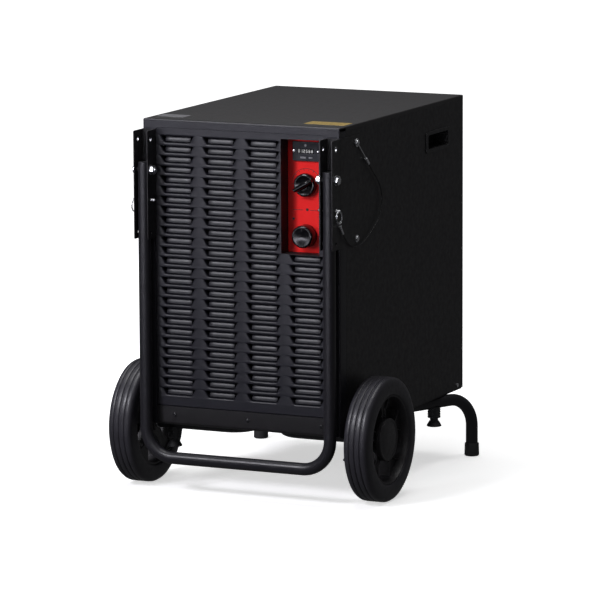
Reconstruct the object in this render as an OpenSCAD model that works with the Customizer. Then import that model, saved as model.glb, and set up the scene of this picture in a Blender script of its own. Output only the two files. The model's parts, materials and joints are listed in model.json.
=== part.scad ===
// Portable refrigerant dehumidifier on a two-wheel tube chassis with a fold-over handle.
// Units are mm. X is across the machine, -Y is the louvred front, +Z is up.
// The origin is on the floor, midway between the front-most and rear-most faces.

/* [Display] */
// Sub-part to draw, or all

/* [Cabinet] */
// Outside width of the sheet-metal cabinet
cab_w = 431; // [380:1:500]
// Depth of the cabinet, front face to rear panel
cab_d = 614; // [540:1:680]
// Height of the cabinet, bottom edge of the sides to the lid
cab_h = 615; // [540:1:680]
// Height of the bottom edge of the sides above the floor
ground = 140; // [120:1:160]
// Height of the lip of the base pan that shows under the front panel
lip_h = 35.6; // [25:0.2:50]

/* [Front panel] */
// Half width of the opening in the front frame
frame_open = 190; // [180:1:195]
// Depth of the band of the frame above the front panel
frame_band = 16.6; // [12:0.2:24]
// Number of louvre rows in a full column
louvre_rows = 26; // [20:1:26]
// Rows in the short column under the control recess
short_rows = 15; // [10:1:15]
// Spacing of the louvre rows
louvre_pitch = 20.4; // [18:0.1:22]
// Width of a louvre opening along its top edge
louvre_w = 72.5; // [60:0.5:80]
// Height of a louvre opening
louvre_h = 13.6; // [10:0.2:15]

/* [Controls] */
// Middle of the control recess from the centre plane
recess_x = 128.7; // [120:0.1:135]
// Width of the control recess
recess_w = 82.4; // [76:0.2:84]
// Depth of the control recess
recess_d = 34; // [28:1:40]
// Diameter of the control knobs
knob_d = 46; // [38:1:50]

/* [Handle] */
// Outside diameter of the handle tube and leg tubes
tube_d = 25; // [22:0.5:28]
// Half spacing of the two handle legs
handle_x = 202.7; // [195:0.1:203]
// Height of the handle pivot above the floor
pivot_z = 655; // [640:1:680]
// Height of the crossbar above the floor with the handle folded down
bar_z = 75; // [60:1:90]
// Centreline bend radius of the handle
bend_r = 60; // [50:1:75]
// Distance from the pivot to the lock pin
pin_drop = 60.6; // [56:0.1:66]

/* [Wheels] */
// Wheel diameter
wheel_d = 250; // [230:1:260]
// Wheel width
wheel_w = 54; // [45:1:60]
// Axle position behind the front face
axle_back = 90; // [80:1:110]
// Outer face of the wheel from the centre plane
wheel_x = 287; // [280:1:295]

/* [Hidden] */
$fn = 48;
half = cab_w / 2;
front = -300;
rear = front + cab_d;
bottom = ground;
top = ground + cab_h;
sheet = 1.5;
pan_t = 2.5;
tube_r = tube_d / 2;
leg_z = bottom - pan_t - tube_r;
axle_y = front + axle_back;
axle_z = wheel_d / 2;
pivot_y = front - 22.5;
pin_z = pivot_z - pin_drop;
flange_t = 2;
flange_out = half;
flange_in = handle_x - tube_r - 0.3 - flange_t;
bracket_lo = bottom + 376.5;
bracket_hi = bottom + 594;
screw_y = front + 75;
screw_hi = bottom + 578;
screw_lo = bottom + 387.4;
hole_lo = pivot_z - 125.5;
hole_hi = pivot_z + pin_drop;
louvre_z0 = bottom + 58.6;
columns = [-141, -47, 47];
recess_lo = bottom + 359.5;
recess_hi = bottom + 588;
plate_y = front + recess_d;
plate_t = 2;
knob1_z = bottom + 495;
knob2_z = bottom + 393.5;
meter_z = bottom + 561.4;
lamp_z = bottom + 445;
bend_c = [80, axle_y + 42.5];
leg_r = 42.5;
leg_a = 24.5;
foot_r = 61.5;
// the foot stands on the line of the diagonal run
foot = bend_c + leg_r * [-cos(leg_a), sin(leg_a)] + 489 * [sin(leg_a), cos(leg_a)];
stub_a = [196, axle_y];
stub_b = [200, front + 498.3];
grip_y = front + 482;
grip_z = bottom + 536;
fan_z = bottom + 448;
shelf_z = bottom + 280;
tank_x = 107.5;
tank_w = 175;
tank_lo = bottom + 20.3;
tank_hi = bottom + 245;
comp = [-110, 20];

// Centre of the right-hand lock-pin lanyard, clamp sleeve to upper sleeve.
lanyard_route = [[221, -296, 545], [221, -280, 529], [220.5, -255, 517], [220.5, -225, 512],
    [220, -195, 518], [220, -165, 530], [220, -140, 544], [220, -121, 559], [220, -110, 577],
    [220, -109, 598], [220, -117, 619], [220, -135, 638], [220, -157, 656], [220, -174, 672]];
lanyard_d = 2.4;

black = [0.1, 0.1, 0.11];
dark = [0.16, 0.16, 0.17];
zinc = [0.72, 0.73, 0.74];
red = [0.78, 0.1, 0.1];
rubber = [0.2, 0.2, 0.2];

// ---- helpers ----

// box from its low and high corners
module box(lo, hi) {
    translate(lo)
    cube(hi - lo);
}

// cylinder along X from x0 to x1
module cyl_x(x0, x1, y, z, d) {
    translate([x0, y, z])
    rotate([0, 90, 0])
    cylinder(d = d, h = x1 - x0);
}

// cylinder along Y from y0 to y1
module cyl_y(y0, y1, x, z, d) {
    translate([x, y1, z])
    rotate([90, 0, 0])
    cylinder(d = d, h = y1 - y0);
}

// cylinder along Z from z0 to z1
module cyl_z(z0, z1, x, y, d) {
    translate([x, y, z0])
    cylinder(d = d, h = z1 - z0);
}

// the same thing on both sides of the centre plane
module both() {
    children();
    mirror([1, 0, 0])
    children();
}

// round bar between two points
module bar(a, b, d) {
    v = b - a;
    n = norm(v);
    translate(a)
    rotate([0, acos(v[2] / n), atan2(v[1], v[0])])
    cylinder(d = d, h = n);
}

// ---- lanyard sweep ----

// point on a smooth curve through the route
function spline(p, t) =
    let (n = len(p) - 1, i = min(n - 1, floor(t)), u = t - i,
        a = p[max(0, i - 1)], b = p[i], c = p[i + 1], d = p[min(n, i + 2)])
    0.5 * (2 * b + (c - a) * u + (2 * a - 5 * b + 4 * c - d) * u * u
        + (3 * b - a - 3 * c + d) * u * u * u);

module cord(route, d, steps) {
    n = len(route) - 1;
    pts = [for (i = [0:n * steps]) spline(route, i / steps)];
    m = len(pts) - 1;
    ring = [for (i = [0:m])
        let (v = pts[min(m, i + 1)] - pts[max(0, i - 1)], t = v / norm(v),
            s = cross(t, [1, 0, 0]) / norm(cross(t, [1, 0, 0])), q = cross(t, s))
        for (k = [0:7]) pts[i] + d / 2 * (cos(45 * k) * s + sin(45 * k) * q)];
    sides = [for (i = [0:m - 1], k = [0:7])
        [8 * i + k, 8 * i + (k + 1) % 8, 8 * i + 8 + (k + 1) % 8, 8 * i + 8 + k]];
    polyhedron(ring, concat(sides, [[for (k = [7:-1:0]) k]], [[for (k = [0:7]) 8 * m + k]]));
}

// ---- cabinet sheet metal ----

module base_pan() {
    color(black)
    difference() {
        union() {
            // floor of the pan with a rounded front edge
            translate([-half + 1.8, 0, 0])
            rotate([90, 0, 90])
            linear_extrude(cab_w - 3.6)
            difference() {
                union() {
                    translate([front + 1.5 + 7, bottom - pan_t])
                    square([cab_d - 11.6, lip_h + pan_t]);
                    translate([front + 1.5, bottom - pan_t + 7])
                    square([20, lip_h + pan_t - 7]);
                    translate([front + 8.5, bottom - pan_t + 7])
                    circle(r = 7);
                }
                translate([front + 4, bottom])
                square([cab_d, lip_h + 1]);
            }
            // side lips
            for (s = [-1, 1])
                box([s > 0 ? half - 3.6 : -half + 1.8, front + 3, bottom - 1],
                    [s > 0 ? half - 1.8 : -half + 3.6, rear - 6, bottom + 25]);
            // runners for the water tank
            for (x = [tank_x - 70, tank_x + 50])
                box([x, 45, bottom - 1], [x + 20, rear - 6, tank_lo - 0.3]);
        }
        for (x = [-150.5, 11, 172.5])
            cyl_y(front - 1, front + 10, x, bottom + 18.5, 4.4);
        for (s = [-1, 1], p = [stub_a, stub_b])
            cyl_z(bottom - 5, bottom + 5, s * p[0], p[1], 8.4);
        for (p = mount_points())
            cyl_z(bottom - 5, bottom + 5, p[0], p[1], 6.4);
        for (s = [-1, 1])
            cyl_x(s * half - 6, s * half + 6, front + 585, bottom + 8.4, 4.2);
        // drain holes
        for (x = [-40, -60])
            cyl_z(bottom - 5, bottom + 5, x, 200, 8);
    }
}

function mount_points() = [for (a = [45:90:315]) [comp[0] + 84 * cos(a), comp[1] + 84 * sin(a)]];

module frame_outline(inset) {
    w = 2 * (frame_open - inset);
    lo = bottom + lip_h;
    hi = top - frame_band - inset;
    translate([-w / 2, lo])
    square([w, hi - lo - 12]);
    translate([-w / 2 + 12, lo])
    square([w - 24, hi - lo]);
    for (s = [-1, 1])
        translate([s * (w / 2 - 12), hi - 12])
        circle(r = 12);
}

module front_frame() {
    color(black)
    difference() {
        union() {
            // face of the frame
            translate([0, front + sheet, 0])
            rotate([90, 0, 0])
            linear_extrude(sheet)
            difference() {
                translate([-half, bottom])
                square([cab_w, cab_h]);
                frame_outline(0);
            }
            // side returns and top return
            for (s = [-1, 1])
                box([s > 0 ? half - sheet : -half, front, bottom],
                    [s > 0 ? half : -half + sheet, front + 28, top - sheet]);
            box([-half, front, top - sheet], [half, front + 8, top]);
        }
        // the lip of the base pan shows below the opening
        box([-half + 1.6, front - 1, bottom - 1], [half - 1.6, front + 2, bottom + lip_h]);
        for (s = [-1, 1], z = [screw_hi - 20, screw_lo + 20])
            cyl_y(front - 1, front + 3, s * 203, z, 5);
    }
}

module louvre_opening(x, z) {
    translate([x, z])
    polygon([[-louvre_w / 2 + 8.5, 0], [louvre_w / 2 - 8.5, 0], [louvre_w / 2, louvre_h - 1],
        [louvre_w / 2, louvre_h], [-louvre_w / 2, louvre_h], [-louvre_w / 2, louvre_h - 1]]);
}

module blade(x, z) {
    translate([x - louvre_w / 2 + 8, 0, 0])
    rotate([90, 0, 90])
    linear_extrude(louvre_w - 16)
    polygon([[front + 1.8, z - 2.5], [front + 3.2, z - 2.5], [front + 3.2, z + 0.5],
        [front + 10, z + louvre_h - 0.8], [front + 9, z + louvre_h - 0.2], [front + 1.8, z + 1]]);
}

module front_panel() {
    lo = bottom + lip_h;
    color(black)
    union() {
        translate([0, front + 2.4, 0])
        rotate([90, 0, 0])
        linear_extrude(1.6)
        difference() {
            frame_outline(0.4);
            for (x = columns, k = [0:louvre_rows - 1])
                louvre_opening(x, louvre_z0 + louvre_pitch * k);
            for (k = [0:short_rows - 1])
                louvre_opening(142, louvre_z0 + louvre_pitch * k);
            translate([recess_x - recess_w / 2, recess_lo])
            square([recess_w, recess_hi - recess_lo]);
        }
        for (x = columns, k = [0:louvre_rows - 1])
            blade(x, louvre_z0 + louvre_pitch * k);
        for (k = [0:short_rows - 1])
            blade(142, louvre_z0 + louvre_pitch * k);
    }
}

module wrap_cover() {
    color(black)
    difference() {
        union() {
            box([-half, front + 8.5, top - sheet], [half, rear, top]);
            for (s = [-1, 1])
                box([s > 0 ? half - sheet : -half, front + 28.5, bottom],
                    [s > 0 ? half : -half + sheet, rear, top]);
            // rear flange of the lid and joining strips behind the frame
            box([-half + 1, rear - sheet, top - 6], [half - 1, rear, top]);
            box([-half + 2, front + 9, top - 3], [half - 2, front + 30, top - 1]);
        }
        for (s = [-1, 1])
            box([s * half - 4, grip_y - 56, grip_z - 18], [s * half + 4, grip_y + 56, grip_z + 18]);
        for (s = [-1, 1], z = [screw_hi, screw_lo])
            cyl_x(s * half - 4, s * half + 4, screw_y, z, 6.4);
        for (s = [-1, 1])
            cyl_x(s * half - 4, s * half + 4, front + 585, bottom + 8.4, 4.2);
        // shallow pockets that the labels lie in
        right_label(1);
        left_label(1);
    }
}

module rear_panel() {
    color(black)
    difference() {
        union() {
            box([-half + 2, rear - sheet - 1.6, bottom + 0.3], [half - 2, rear - 1.6, top - 2]);
            for (s = [-1, 1])
                box([s > 0 ? half - 3.5 : -half + 2, rear - 18, bottom + 26],
                    [s > 0 ? half - 2 : -half + 3.5, rear - 1.6, top - 2]);
        }
        cyl_y(rear - 10, rear + 2, 0, fan_z, 292);
        box([tank_x - tank_w / 2 - 2, rear - 10, tank_lo - 2],
            [tank_x + tank_w / 2 + 2, rear + 2, tank_hi + 2]);
        cyl_y(rear - 10, rear + 2, -150, bottom + 120, 20.4);
        for (a = [45:90:315])
            cyl_y(rear - 10, rear + 2, 154 * cos(a), fan_z + 154 * sin(a), 4.4);
    }
}

// ---- controls ----

module control_box() {
    x0 = recess_x - recess_w / 2;
    x1 = recess_x + recess_w / 2;
    color(dark)
    difference() {
        box([x0 - 1.5, front + 2.4, recess_lo - 1.5],
            [x1 + 1.5, plate_y + plate_t + 1.5, recess_hi + 1.5]);
        box([x0, front - 1, recess_lo], [x1, plate_y + plate_t, recess_hi]);
        cyl_y(plate_y, plate_y + 10, recess_x - 1, knob1_z, 14);
        cyl_y(plate_y, plate_y + 10, recess_x - 1, knob2_z, 14);
        box([recess_x - 26, plate_y, meter_z - 14], [recess_x + 26, plate_y + 10, meter_z + 14]);
    }
}

module control_plate() {
    color(red)
    difference() {
        box([recess_x - recess_w / 2 + 0.1, plate_y, recess_lo + 0.1],
            [recess_x + recess_w / 2 - 0.1, plate_y + plate_t, recess_hi - 0.1]);
        for (z = [knob1_z, knob2_z])
            cyl_y(plate_y - 1, plate_y + 5, recess_x - 1, z, 10);
        box([recess_x - 24.2, plate_y - 1, meter_z - 12.2], [recess_x + 23.8, plate_y + 5, meter_z + 12.2]);
    }
}

module hour_meter() {
    color(dark) {
        difference() {
            box([recess_x - 29.5, plate_y - 4, meter_z - 19.5], [recess_x + 29.5, plate_y, meter_z + 19.5]);
            box([recess_x - 19, plate_y - 5, meter_z - 5], [recess_x + 17, plate_y - 3, meter_z + 5]);
            for (x = [recess_x - 26.2, recess_x + 26])
                cyl_y(plate_y - 5, plate_y + 1, x, meter_z, 3.4);
        }
        box([recess_x - 23.5, plate_y, meter_z - 11.8], [recess_x + 23.2, plate_y + 30, meter_z + 11.8]);
    }
}

module plate_screws() {
    color(zinc) {
        for (x = [recess_x - 26.2, recess_x + 26]) {
            cyl_y(plate_y - 6, plate_y - 4, x, meter_z, 6);
            cyl_y(plate_y - 4, plate_y, x, meter_z, 3.3);
        }
        cyl_y(plate_y - 1.6, plate_y, recess_x - 29, bottom + 426, 5);
        cyl_y(plate_y - 1.6, plate_y, recess_x + 1, lamp_z, 6);
    }
}

module control_body(z, w, h, d) {
    difference() {
        box([recess_x - 1 - w / 2, plate_y + plate_t + 1.6, z - h / 2],
            [recess_x - 1 + w / 2, plate_y + plate_t + 1.6 + d, z + h / 2]);
        cyl_y(plate_y, plate_y + 24, recess_x - 1, z, 6.1);
    }
}

module humidistat() {
    color([0.85, 0.85, 0.82])
    control_body(knob1_z, 44, 60, 22);
}

module mode_switch() {
    color([0.3, 0.3, 0.32])
    control_body(knob2_z, 36, 36, 22);
}

module knob_humidistat() {
    color(black)
    difference() {
        union() {
            cyl_y(plate_y - 12, plate_y - 1, recess_x - 1, knob1_z, knob_d);
            cyl_y(plate_y - 18, plate_y - 12, recess_x - 1, knob1_z, knob_d - 6);
            translate([recess_x - 1, plate_y - 24, knob1_z])
            rotate([0, -30, 0])
            translate([-24, 0, -4])
            cube([45, 14, 8]);
            cyl_y(plate_y - 2, plate_y + 22, recess_x - 1, knob1_z, 6);
        }
        cyl_y(plate_y - 30, plate_y - 26, recess_x - 1, knob1_z, 10);
    }
}

module knob_mode() {
    color(black)
    difference() {
        union() {
            cyl_y(plate_y - 23, plate_y - 1, recess_x - 1, knob2_z, knob_d);
            cyl_y(plate_y - 25, plate_y - 23, recess_x - 1, knob2_z, knob_d - 8);
            cyl_y(plate_y - 2, plate_y + 22, recess_x - 1, knob2_z, 6);
        }
        translate([recess_x - 2, plate_y - 26, knob2_z + 12])
        cube([2, 3, 10]);
    }
}

// ---- inside the cabinet ----

module partition() {
    color([0.6, 0.62, 0.64])
    difference() {
        union() {
            box([-half + 4, -68, shelf_z], [half - 4, rear - 20, shelf_z + 1.5]);
            for (s = [-1, 1])
                box([s > 0 ? half - 5.5 : -half + 4, -68, shelf_z],
                    [s > 0 ? half - 4 : -half + 5.5, rear - 20, shelf_z + 20]);
        }
        cyl_z(shelf_z - 2, shelf_z + 4, -100, 200, 20);
    }
}

module coil(y0, y1) {
    lo = shelf_z + 4;
    hi = top - 22;
    box([-176, y0 + 2, lo + 2], [176, y1 - 2, hi - 2]);
    for (s = [-1, 1])
        box([s > 0 ? 176 : -178, y0, lo], [s > 0 ? 178 : -176, y1, hi]);
    for (s = [-1, 1], k = [0:5])
        translate([s * 178, (y0 + y1) / 2, lo + 30 + 48 * k])
        rotate([90, 0, s * 90 - 90])
        rotate([0, 0, -90])
        rotate_extrude(angle = 180, $fn = 24)
        translate([9, 0])
        circle(d = 8, $fn = 16);
}

module evaporator() {
    color([0.75, 0.76, 0.78])
    coil(-211, -161);
}

module condenser() {
    color([0.7, 0.7, 0.7])
    coil(-151, -101);
}

module pipe(p, d) {
    for (i = [0:len(p) - 2])
        bar(p[i], p[i + 1], d);
    for (i = [1:len(p) - 2])
        translate(p[i])
        sphere(d = d, $fn = 16);
}

module coil_pipes() {
    color([0.72, 0.45, 0.3])
    union() {
        pipe([[-80, 20, 386], [-80, 20, 392], [-80, -76, 392], [-198, -76, 392],
            [-198, -76, 574], [-198, -126, 574], [-178, -126, 574]], 8, $fn = 16);
        pipe([[-140, 20, 386], [-140, 20, 406], [-140, -88, 406], [-207, -88, 406],
            [-207, -88, 622], [-207, -186, 622], [-178, -186, 622]], 8, $fn = 16);
        pipe([[178, -126, 478], [198, -126, 478], [198, -186, 478], [178, -186, 478]], 6, $fn = 16);
        cyl_y(-176, -136, 198, 478, 16);
    }
}

module drip_tray() {
    color([0.85, 0.86, 0.86])
    difference() {
        union() {
            difference() {
                box([-190, -218, shelf_z - 22], [190, -94, shelf_z + 2]);
                box([-188, -216, shelf_z - 20], [188, -96, shelf_z + 3]);
            }
            box([-186, -205, shelf_z - 21], [-174, -107, shelf_z + 4]);
            box([174, -205, shelf_z - 21], [186, -107, shelf_z + 4]);
            cyl_y(-95, 92, tank_x, shelf_z - 14, 16);
            cyl_z(shelf_z - 30, shelf_z - 14, tank_x, 84, 16);
        }
        cyl_y(-101, 84, tank_x, shelf_z - 14, 12);
        cyl_z(shelf_z - 31, shelf_z - 14, tank_x, 84, 12);
    }
}

module air_filter() {
    color([0.5, 0.52, 0.5])
    difference() {
        box([-184, -230, bottom + 40], [184, -220, top - 20]);
        for (x = [-172, -84, 4, 92])
            box([x, -231, bottom + 52], [x + 80, -228, top - 32]);
    }
    color([0.3, 0.3, 0.3])
    for (s = [-1, 1])
        box([s > 0 ? 184 : -202, -232, bottom + 40], [s > 0 ? 202 : -184, -218, top - 20]);
}

module compressor() {
    x = comp[0];
    y = comp[1];
    color([0.12, 0.12, 0.13])
    union() {
        translate([x, y, bottom + 20])
        rotate_extrude()
        polygon([[0, 0], [70, 0], [82, 12], [85, 20], [85, 170], [80, 190], [62, 208], [30, 218],
            [0, 220]]);
        difference() {
            box([x - 75, y - 75, bottom + 16], [x + 75, y + 75, bottom + 20.5]);
            for (p = mount_points())
                cyl_z(bottom + 10, bottom + 30, p[0], p[1], 10.4);
        }
        cyl_z(bottom + 200, bottom + 246, x + 30, y, 12);
        cyl_z(bottom + 200, bottom + 246, x - 30, y, 12);
    }
}

module compressor_mounts() {
    color(rubber)
    for (p = mount_points())
        difference() {
            union() {
                cyl_z(bottom, bottom + 16, p[0], p[1], 22);
                cyl_z(bottom + 16, bottom + 20.5, p[0], p[1], 10.2);
                cyl_z(bottom + 20.5, bottom + 24, p[0], p[1], 20);
            }
            cyl_z(bottom - 1, bottom + 30, p[0], p[1], 6.4);
        }
}

module electrics_box() {
    color([0.45, 0.46, 0.48])
    difference() {
        union() {
            box([-188, 160, bottom], [-96, 290, bottom + 190]);
            cyl_z(bottom + 190, bottom + 230, -142, 200, 40);
        }
        box([-186, 162, bottom + 40], [-98, 288, bottom + 188]);
    }
}

module fan_shroud() {
    color([0.55, 0.57, 0.6])
    union() {
        difference() {
            union() {
                box([-205, -62, shelf_z + 1.5], [205, -60, top - 2]);
                cyl_y(-60.5, -28, 0, fan_z, 308);
            }
            cyl_y(-70, 0, 0, fan_z, 304);
        }
        // four arms on posts, and the ring that holds the motor
        difference() {
            union() {
                for (a = [45:90:315])
                    translate([0, 0, fan_z])
                    rotate([0, a, 0]) {
                        translate([40, -26, -6])
                        cube([136, 10, 12]);
                        translate([166, -60.5, -6])
                        cube([10, 36, 12]);
                    }
                cyl_y(-24, 0, 0, fan_z, 100);
            }
            cyl_y(-70, 30, 0, fan_z, 90);
        }
    }
}

module fan_motor() {
    color([0.35, 0.36, 0.38])
    union() {
        cyl_y(-14, 70, 0, fan_z, 89.9);
        cyl_y(70, 80, 0, fan_z, 60);
        cyl_y(-50, -14, 0, fan_z, 10);
    }
}

module fan_rotor() {
    color([0.2, 0.2, 0.22])
    difference() {
        union() {
            cyl_y(-52, -30, 0, fan_z, 70);
            intersection() {
                cyl_y(-60, -28, 0, fan_z, 296);
                union()
                for (a = [0:72:288])
                    translate([0, -41, fan_z])
                    rotate([0, a, 0])
                    rotate([22, 0, 0])
                    translate([25, -1.5, -26])
                    cube([140, 3, 52]);
            }
        }
        cyl_y(-51, -20, 0, fan_z, 10.1);
    }
}

module guard_ring(r, w) {
    difference() {
        circle(r = r + w / 2);
        circle(r = r - w / 2);
    }
}

module fan_guard() {
    color(black)
    difference() {
        translate([0, rear + 4, fan_z])
        rotate([90, 0, 0])
        union() {
            linear_extrude(2.4) {
                for (r = [30:18:138])
                    guard_ring(r, 2.8);
                for (a = [0:60:179])
                    rotate(a)
                    square([290, 3], center = true);
                guard_ring(151, 18);
            }
            linear_extrude(5.6)
            guard_ring(151, 18);
        }
        for (a = [45:90:315])
            cyl_y(rear - 10, rear + 6, 154 * cos(a), fan_z + 154 * sin(a), 4.4);
    }
}

module water_tank() {
    x0 = tank_x - tank_w / 2;
    x1 = tank_x + tank_w / 2;
    color([0.82, 0.84, 0.86])
    difference() {
        union() {
            box([x0, 45, tank_lo], [x1, rear, tank_hi]);
            // moulded grip
            difference() {
                box([tank_x - 50, rear - 1, tank_hi - 70], [tank_x + 50, rear + 26, tank_hi - 40]);
                box([tank_x - 44, rear, tank_hi - 80], [tank_x + 44, rear + 20, tank_hi - 46]);
            }
        }
        box([x0 + 3, 48, tank_lo + 3], [x1 - 3, rear - 3, tank_hi - 3]);
        box([tank_x - 40, 60, tank_hi - 10], [tank_x + 40, 130, tank_hi + 5]);
    }
}

// ---- side grips ----

module grip() {
    difference() {
        union() {
            box([half, grip_y - 62, grip_z - 22], [half + 2, grip_y + 62, grip_z + 22]);
            box([half - 34, grip_y - 55.5, grip_z - 17.5], [half + 1, grip_y + 55.5, grip_z + 17.5]);
        }
        box([half - 32, grip_y - 51, grip_z - 14.5], [half + 5, grip_y + 51, grip_z + 14.5]);
    }
}

module grip_right() {
    color(dark)
    grip();
}

module grip_left() {
    color(dark)
    mirror([1, 0, 0])
    grip();
}

// ---- handle brackets ----

module bracket() {
    difference() {
        union() {
            // outer plate runs back along the side
            box([flange_out, front - 40, bracket_lo], [flange_out + flange_t, front + 98, bracket_hi]);
            box([flange_in, front - 36, bracket_lo], [flange_in + flange_t, front, bracket_hi]);
            box([flange_in, front - flange_t, bracket_lo], [flange_out + flange_t, front, bracket_hi]);
        }
        cyl_x(flange_in - 5, flange_out + 9, pivot_y, pivot_z, 10.2);
        cyl_x(flange_in - 5, flange_out + 9, pivot_y, pin_z, 6.2);
        cyl_x(flange_in - 5, flange_out + 9, pivot_y, hole_hi, 10.1);
        cyl_x(flange_in - 5, flange_out + 9, pivot_y, hole_lo, 6.4);
        for (z = [screw_hi, screw_lo])
            cyl_x(flange_out - 5, flange_out + 9, screw_y, z, 6.4);
        for (z = [screw_hi - 20, screw_lo + 20])
            cyl_y(front - 5, front + 3, 203, z, 5);
    }
}

module bracket_right() {
    color(black)
    bracket();
}

module bracket_left() {
    color(black)
    mirror([1, 0, 0])
    bracket();
}

module bracket_screws() {
    x = flange_out + flange_t;
    color(zinc)
    both()
    for (z = [screw_hi, screw_lo]) {
        // the head of the upper screw sits on the eye of the lanyard
        head = x + (z == screw_hi ? 2.2 : 1.2);
        cyl_x(x, x + 1.2, screw_y, z, 15);
        cyl_x(head, head + 3.8, screw_y, z, 11);
        cyl_x(half - 12, head + 1, screw_y, z, 6);
        cyl_x(half - 6, half - sheet, screw_y, z, 10);
    }
}

module pin_bushes() {
    color([0.85, 0.85, 0.85])
    both()
    difference() {
        union() {
            for (x = [flange_in, flange_out])
                cyl_x(x, x + flange_t, pivot_y, hole_hi, 10);
            cyl_x(flange_out + flange_t, flange_out + flange_t + 0.25, pivot_y, hole_hi, 12);
        }
        cyl_x(flange_in - 1, flange_out + 4, pivot_y, hole_hi, 6.4);
    }
}

module pivot_bolts() {
    x = flange_out + flange_t;
    color(zinc)
    both() {
        cyl_x(x, x + 1.5, pivot_y, pivot_z, 20);
        cyl_x(x + 1.5, x + 7.5, pivot_y, pivot_z, 19, $fn = 6);
        cyl_x(flange_in - 12, x + 1.5, pivot_y, pivot_z, 10);
    }
}

module pivot_nuts() {
    color(zinc)
    both()
    difference() {
        union() {
            cyl_x(flange_in - 1.5, flange_in, pivot_y, pivot_z, 20);
            cyl_x(flange_in - 9.5, flange_in - 1.5, pivot_y, pivot_z, 19, $fn = 6);
        }
        cyl_x(flange_in - 12, flange_in + 1, pivot_y, pivot_z, 10);
    }
}

// ---- handle ----

module handle_path(d) {
    leg_top = pivot_z + 15.5;
    for (s = [-1, 1]) {
        cyl_z(bar_z + bend_r, leg_top, s * handle_x, pivot_y, d);
        translate([s * (handle_x - bend_r), pivot_y, bar_z + bend_r])
        rotate([90, 0, 0])
        rotate([0, 0, s > 0 ? -90 : 180])
        rotate_extrude(angle = 90)
        translate([bend_r, 0])
        circle(d = d);
    }
    cyl_x(-handle_x + bend_r, handle_x - bend_r, pivot_y, bar_z, d);
}

module handle_tube() {
    color(dark)
    difference() {
        handle_path(tube_d);
        for (s = [-1, 1]) {
            cyl_z(bar_z + bend_r + 200, pivot_z + 20, s * handle_x, pivot_y, tube_d - 4);
            cyl_x(s * handle_x - 20, s * handle_x + 20, pivot_y, pivot_z, 10.1);
            cyl_x(s * handle_x - 20, s * handle_x + 20, pivot_y, pin_z, 6.4);
        }
    }
}

module handle_plugs() {
    color(black)
    both()
    cyl_z(pivot_z + 6, pivot_z + 15.5, handle_x, pivot_y, tube_d - 4);
}

// ---- lock pins and lanyards ----

module lock_pin() {
    x = flange_out + flange_t;
    difference() {
        union() {
            cyl_x(flange_in - 9, x + 9, pivot_y, pin_z, 6);
            cyl_x(x + 0.3, x + 2.3, pivot_y, pin_z, 10);
        }
        cyl_y(pivot_y - 5, pivot_y + 5, x + 6, pin_z, 3);
    }
}

module pin_ring() {
    x = flange_out + flange_t + 6;
    translate([x, pivot_y, pin_z - 12.3])
    rotate([0, 90, 0])
    rotate_extrude()
    translate([12.5, 0])
    circle(d = 2.2, $fn = 12);
    // clamp sleeve at the end of the lanyard
    bar([221, -311.8, 564.3], [221, -297, 546], 4.6);
    translate([221, -314.5, 568.5])
    rotate([0, 90, 0])
    rotate_extrude($fn = 24)
    translate([4.2, 0])
    circle(d = 2, $fn = 8);
}

module lock_pin_right() {
    color(zinc)
    lock_pin();
}

module lock_pin_left() {
    color(zinc)
    mirror([1, 0, 0])
    lock_pin();
}

module pin_ring_right() {
    color(zinc)
    pin_ring();
}

module pin_ring_left() {
    color(zinc)
    mirror([1, 0, 0])
    pin_ring();
}

module lanyard_right() {
    color([0.5, 0.5, 0.5])
    cord(lanyard_route, lanyard_d, 5);
}

module lanyard_left() {
    color([0.5, 0.5, 0.5])
    mirror([1, 0, 0])
    cord(lanyard_route, lanyard_d, 5);
}

// upper sleeve, tail and eye held under the top bracket screw
module lanyard_eyes() {
    x = flange_out + flange_t;
    color(zinc)
    both() {
        bar([220, -175.2, 673], [220, -197, 693], 4.6);
        bar([220, -196, 692], [219.6, -219.2, 712.8], 2.4);
        difference() {
            cyl_x(x + 1.2, x + 2.2, screw_y, screw_hi, 17);
            cyl_x(x, x + 3, screw_y, screw_hi, 6.2);
        }
    }
}

// ---- chassis ----

module leg_tube_solid(d) {
    a = leg_a;
    dir = [sin(a), cos(a)];
    // tangent point where the bend meets the diagonal run
    t = bend_c + leg_r * [-cos(a), sin(a)];
    run = norm(foot - t);
    e = t + (run - foot_r) * dir;
    // bends are a hair thinner than the straight runs that overlap their ends
    bend_d = d - 0.4;
    cyl_x(bend_c[0] - 1, 230, axle_y, leg_z, d);
    translate([bend_c[0], bend_c[1], leg_z])
    rotate([0, 0, 180 - a])
    rotate_extrude(angle = 90 + a)
    translate([leg_r, 0])
    circle(d = bend_d);
    translate([t[0] - dir[0], t[1] - dir[1], leg_z])
    rotate([0, 0, 90 - a])
    rotate([0, 90, 0])
    cylinder(d = d, h = run - foot_r + 2);
    translate([e[0], e[1], leg_z - foot_r])
    rotate([0, 0, 90 - a])
    rotate([90, 0, 0])
    rotate_extrude(angle = 90)
    translate([foot_r, 0])
    circle(d = bend_d);
    cyl_z(4, leg_z - foot_r + 1, foot[0], foot[1], d);
}

module leg_tube() {
    difference() {
        leg_tube_solid(tube_d);
        cyl_x(150, 240, axle_y, leg_z, tube_d - 4);
        for (p = [stub_a, stub_b])
            cyl_z(leg_z - 20, leg_z + 20, p[0], p[1], 8.4);
    }
}

module leg_tube_right() {
    color(dark)
    leg_tube();
}

module leg_tube_left() {
    color(dark)
    mirror([1, 0, 0])
    leg_tube();
}

module leg_ferrules() {
    color(rubber)
    both()
    difference() {
        cyl_z(0, 27, foot[0], foot[1], 31);
        cyl_z(4, 30, foot[0], foot[1], tube_d);
    }
}

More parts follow.
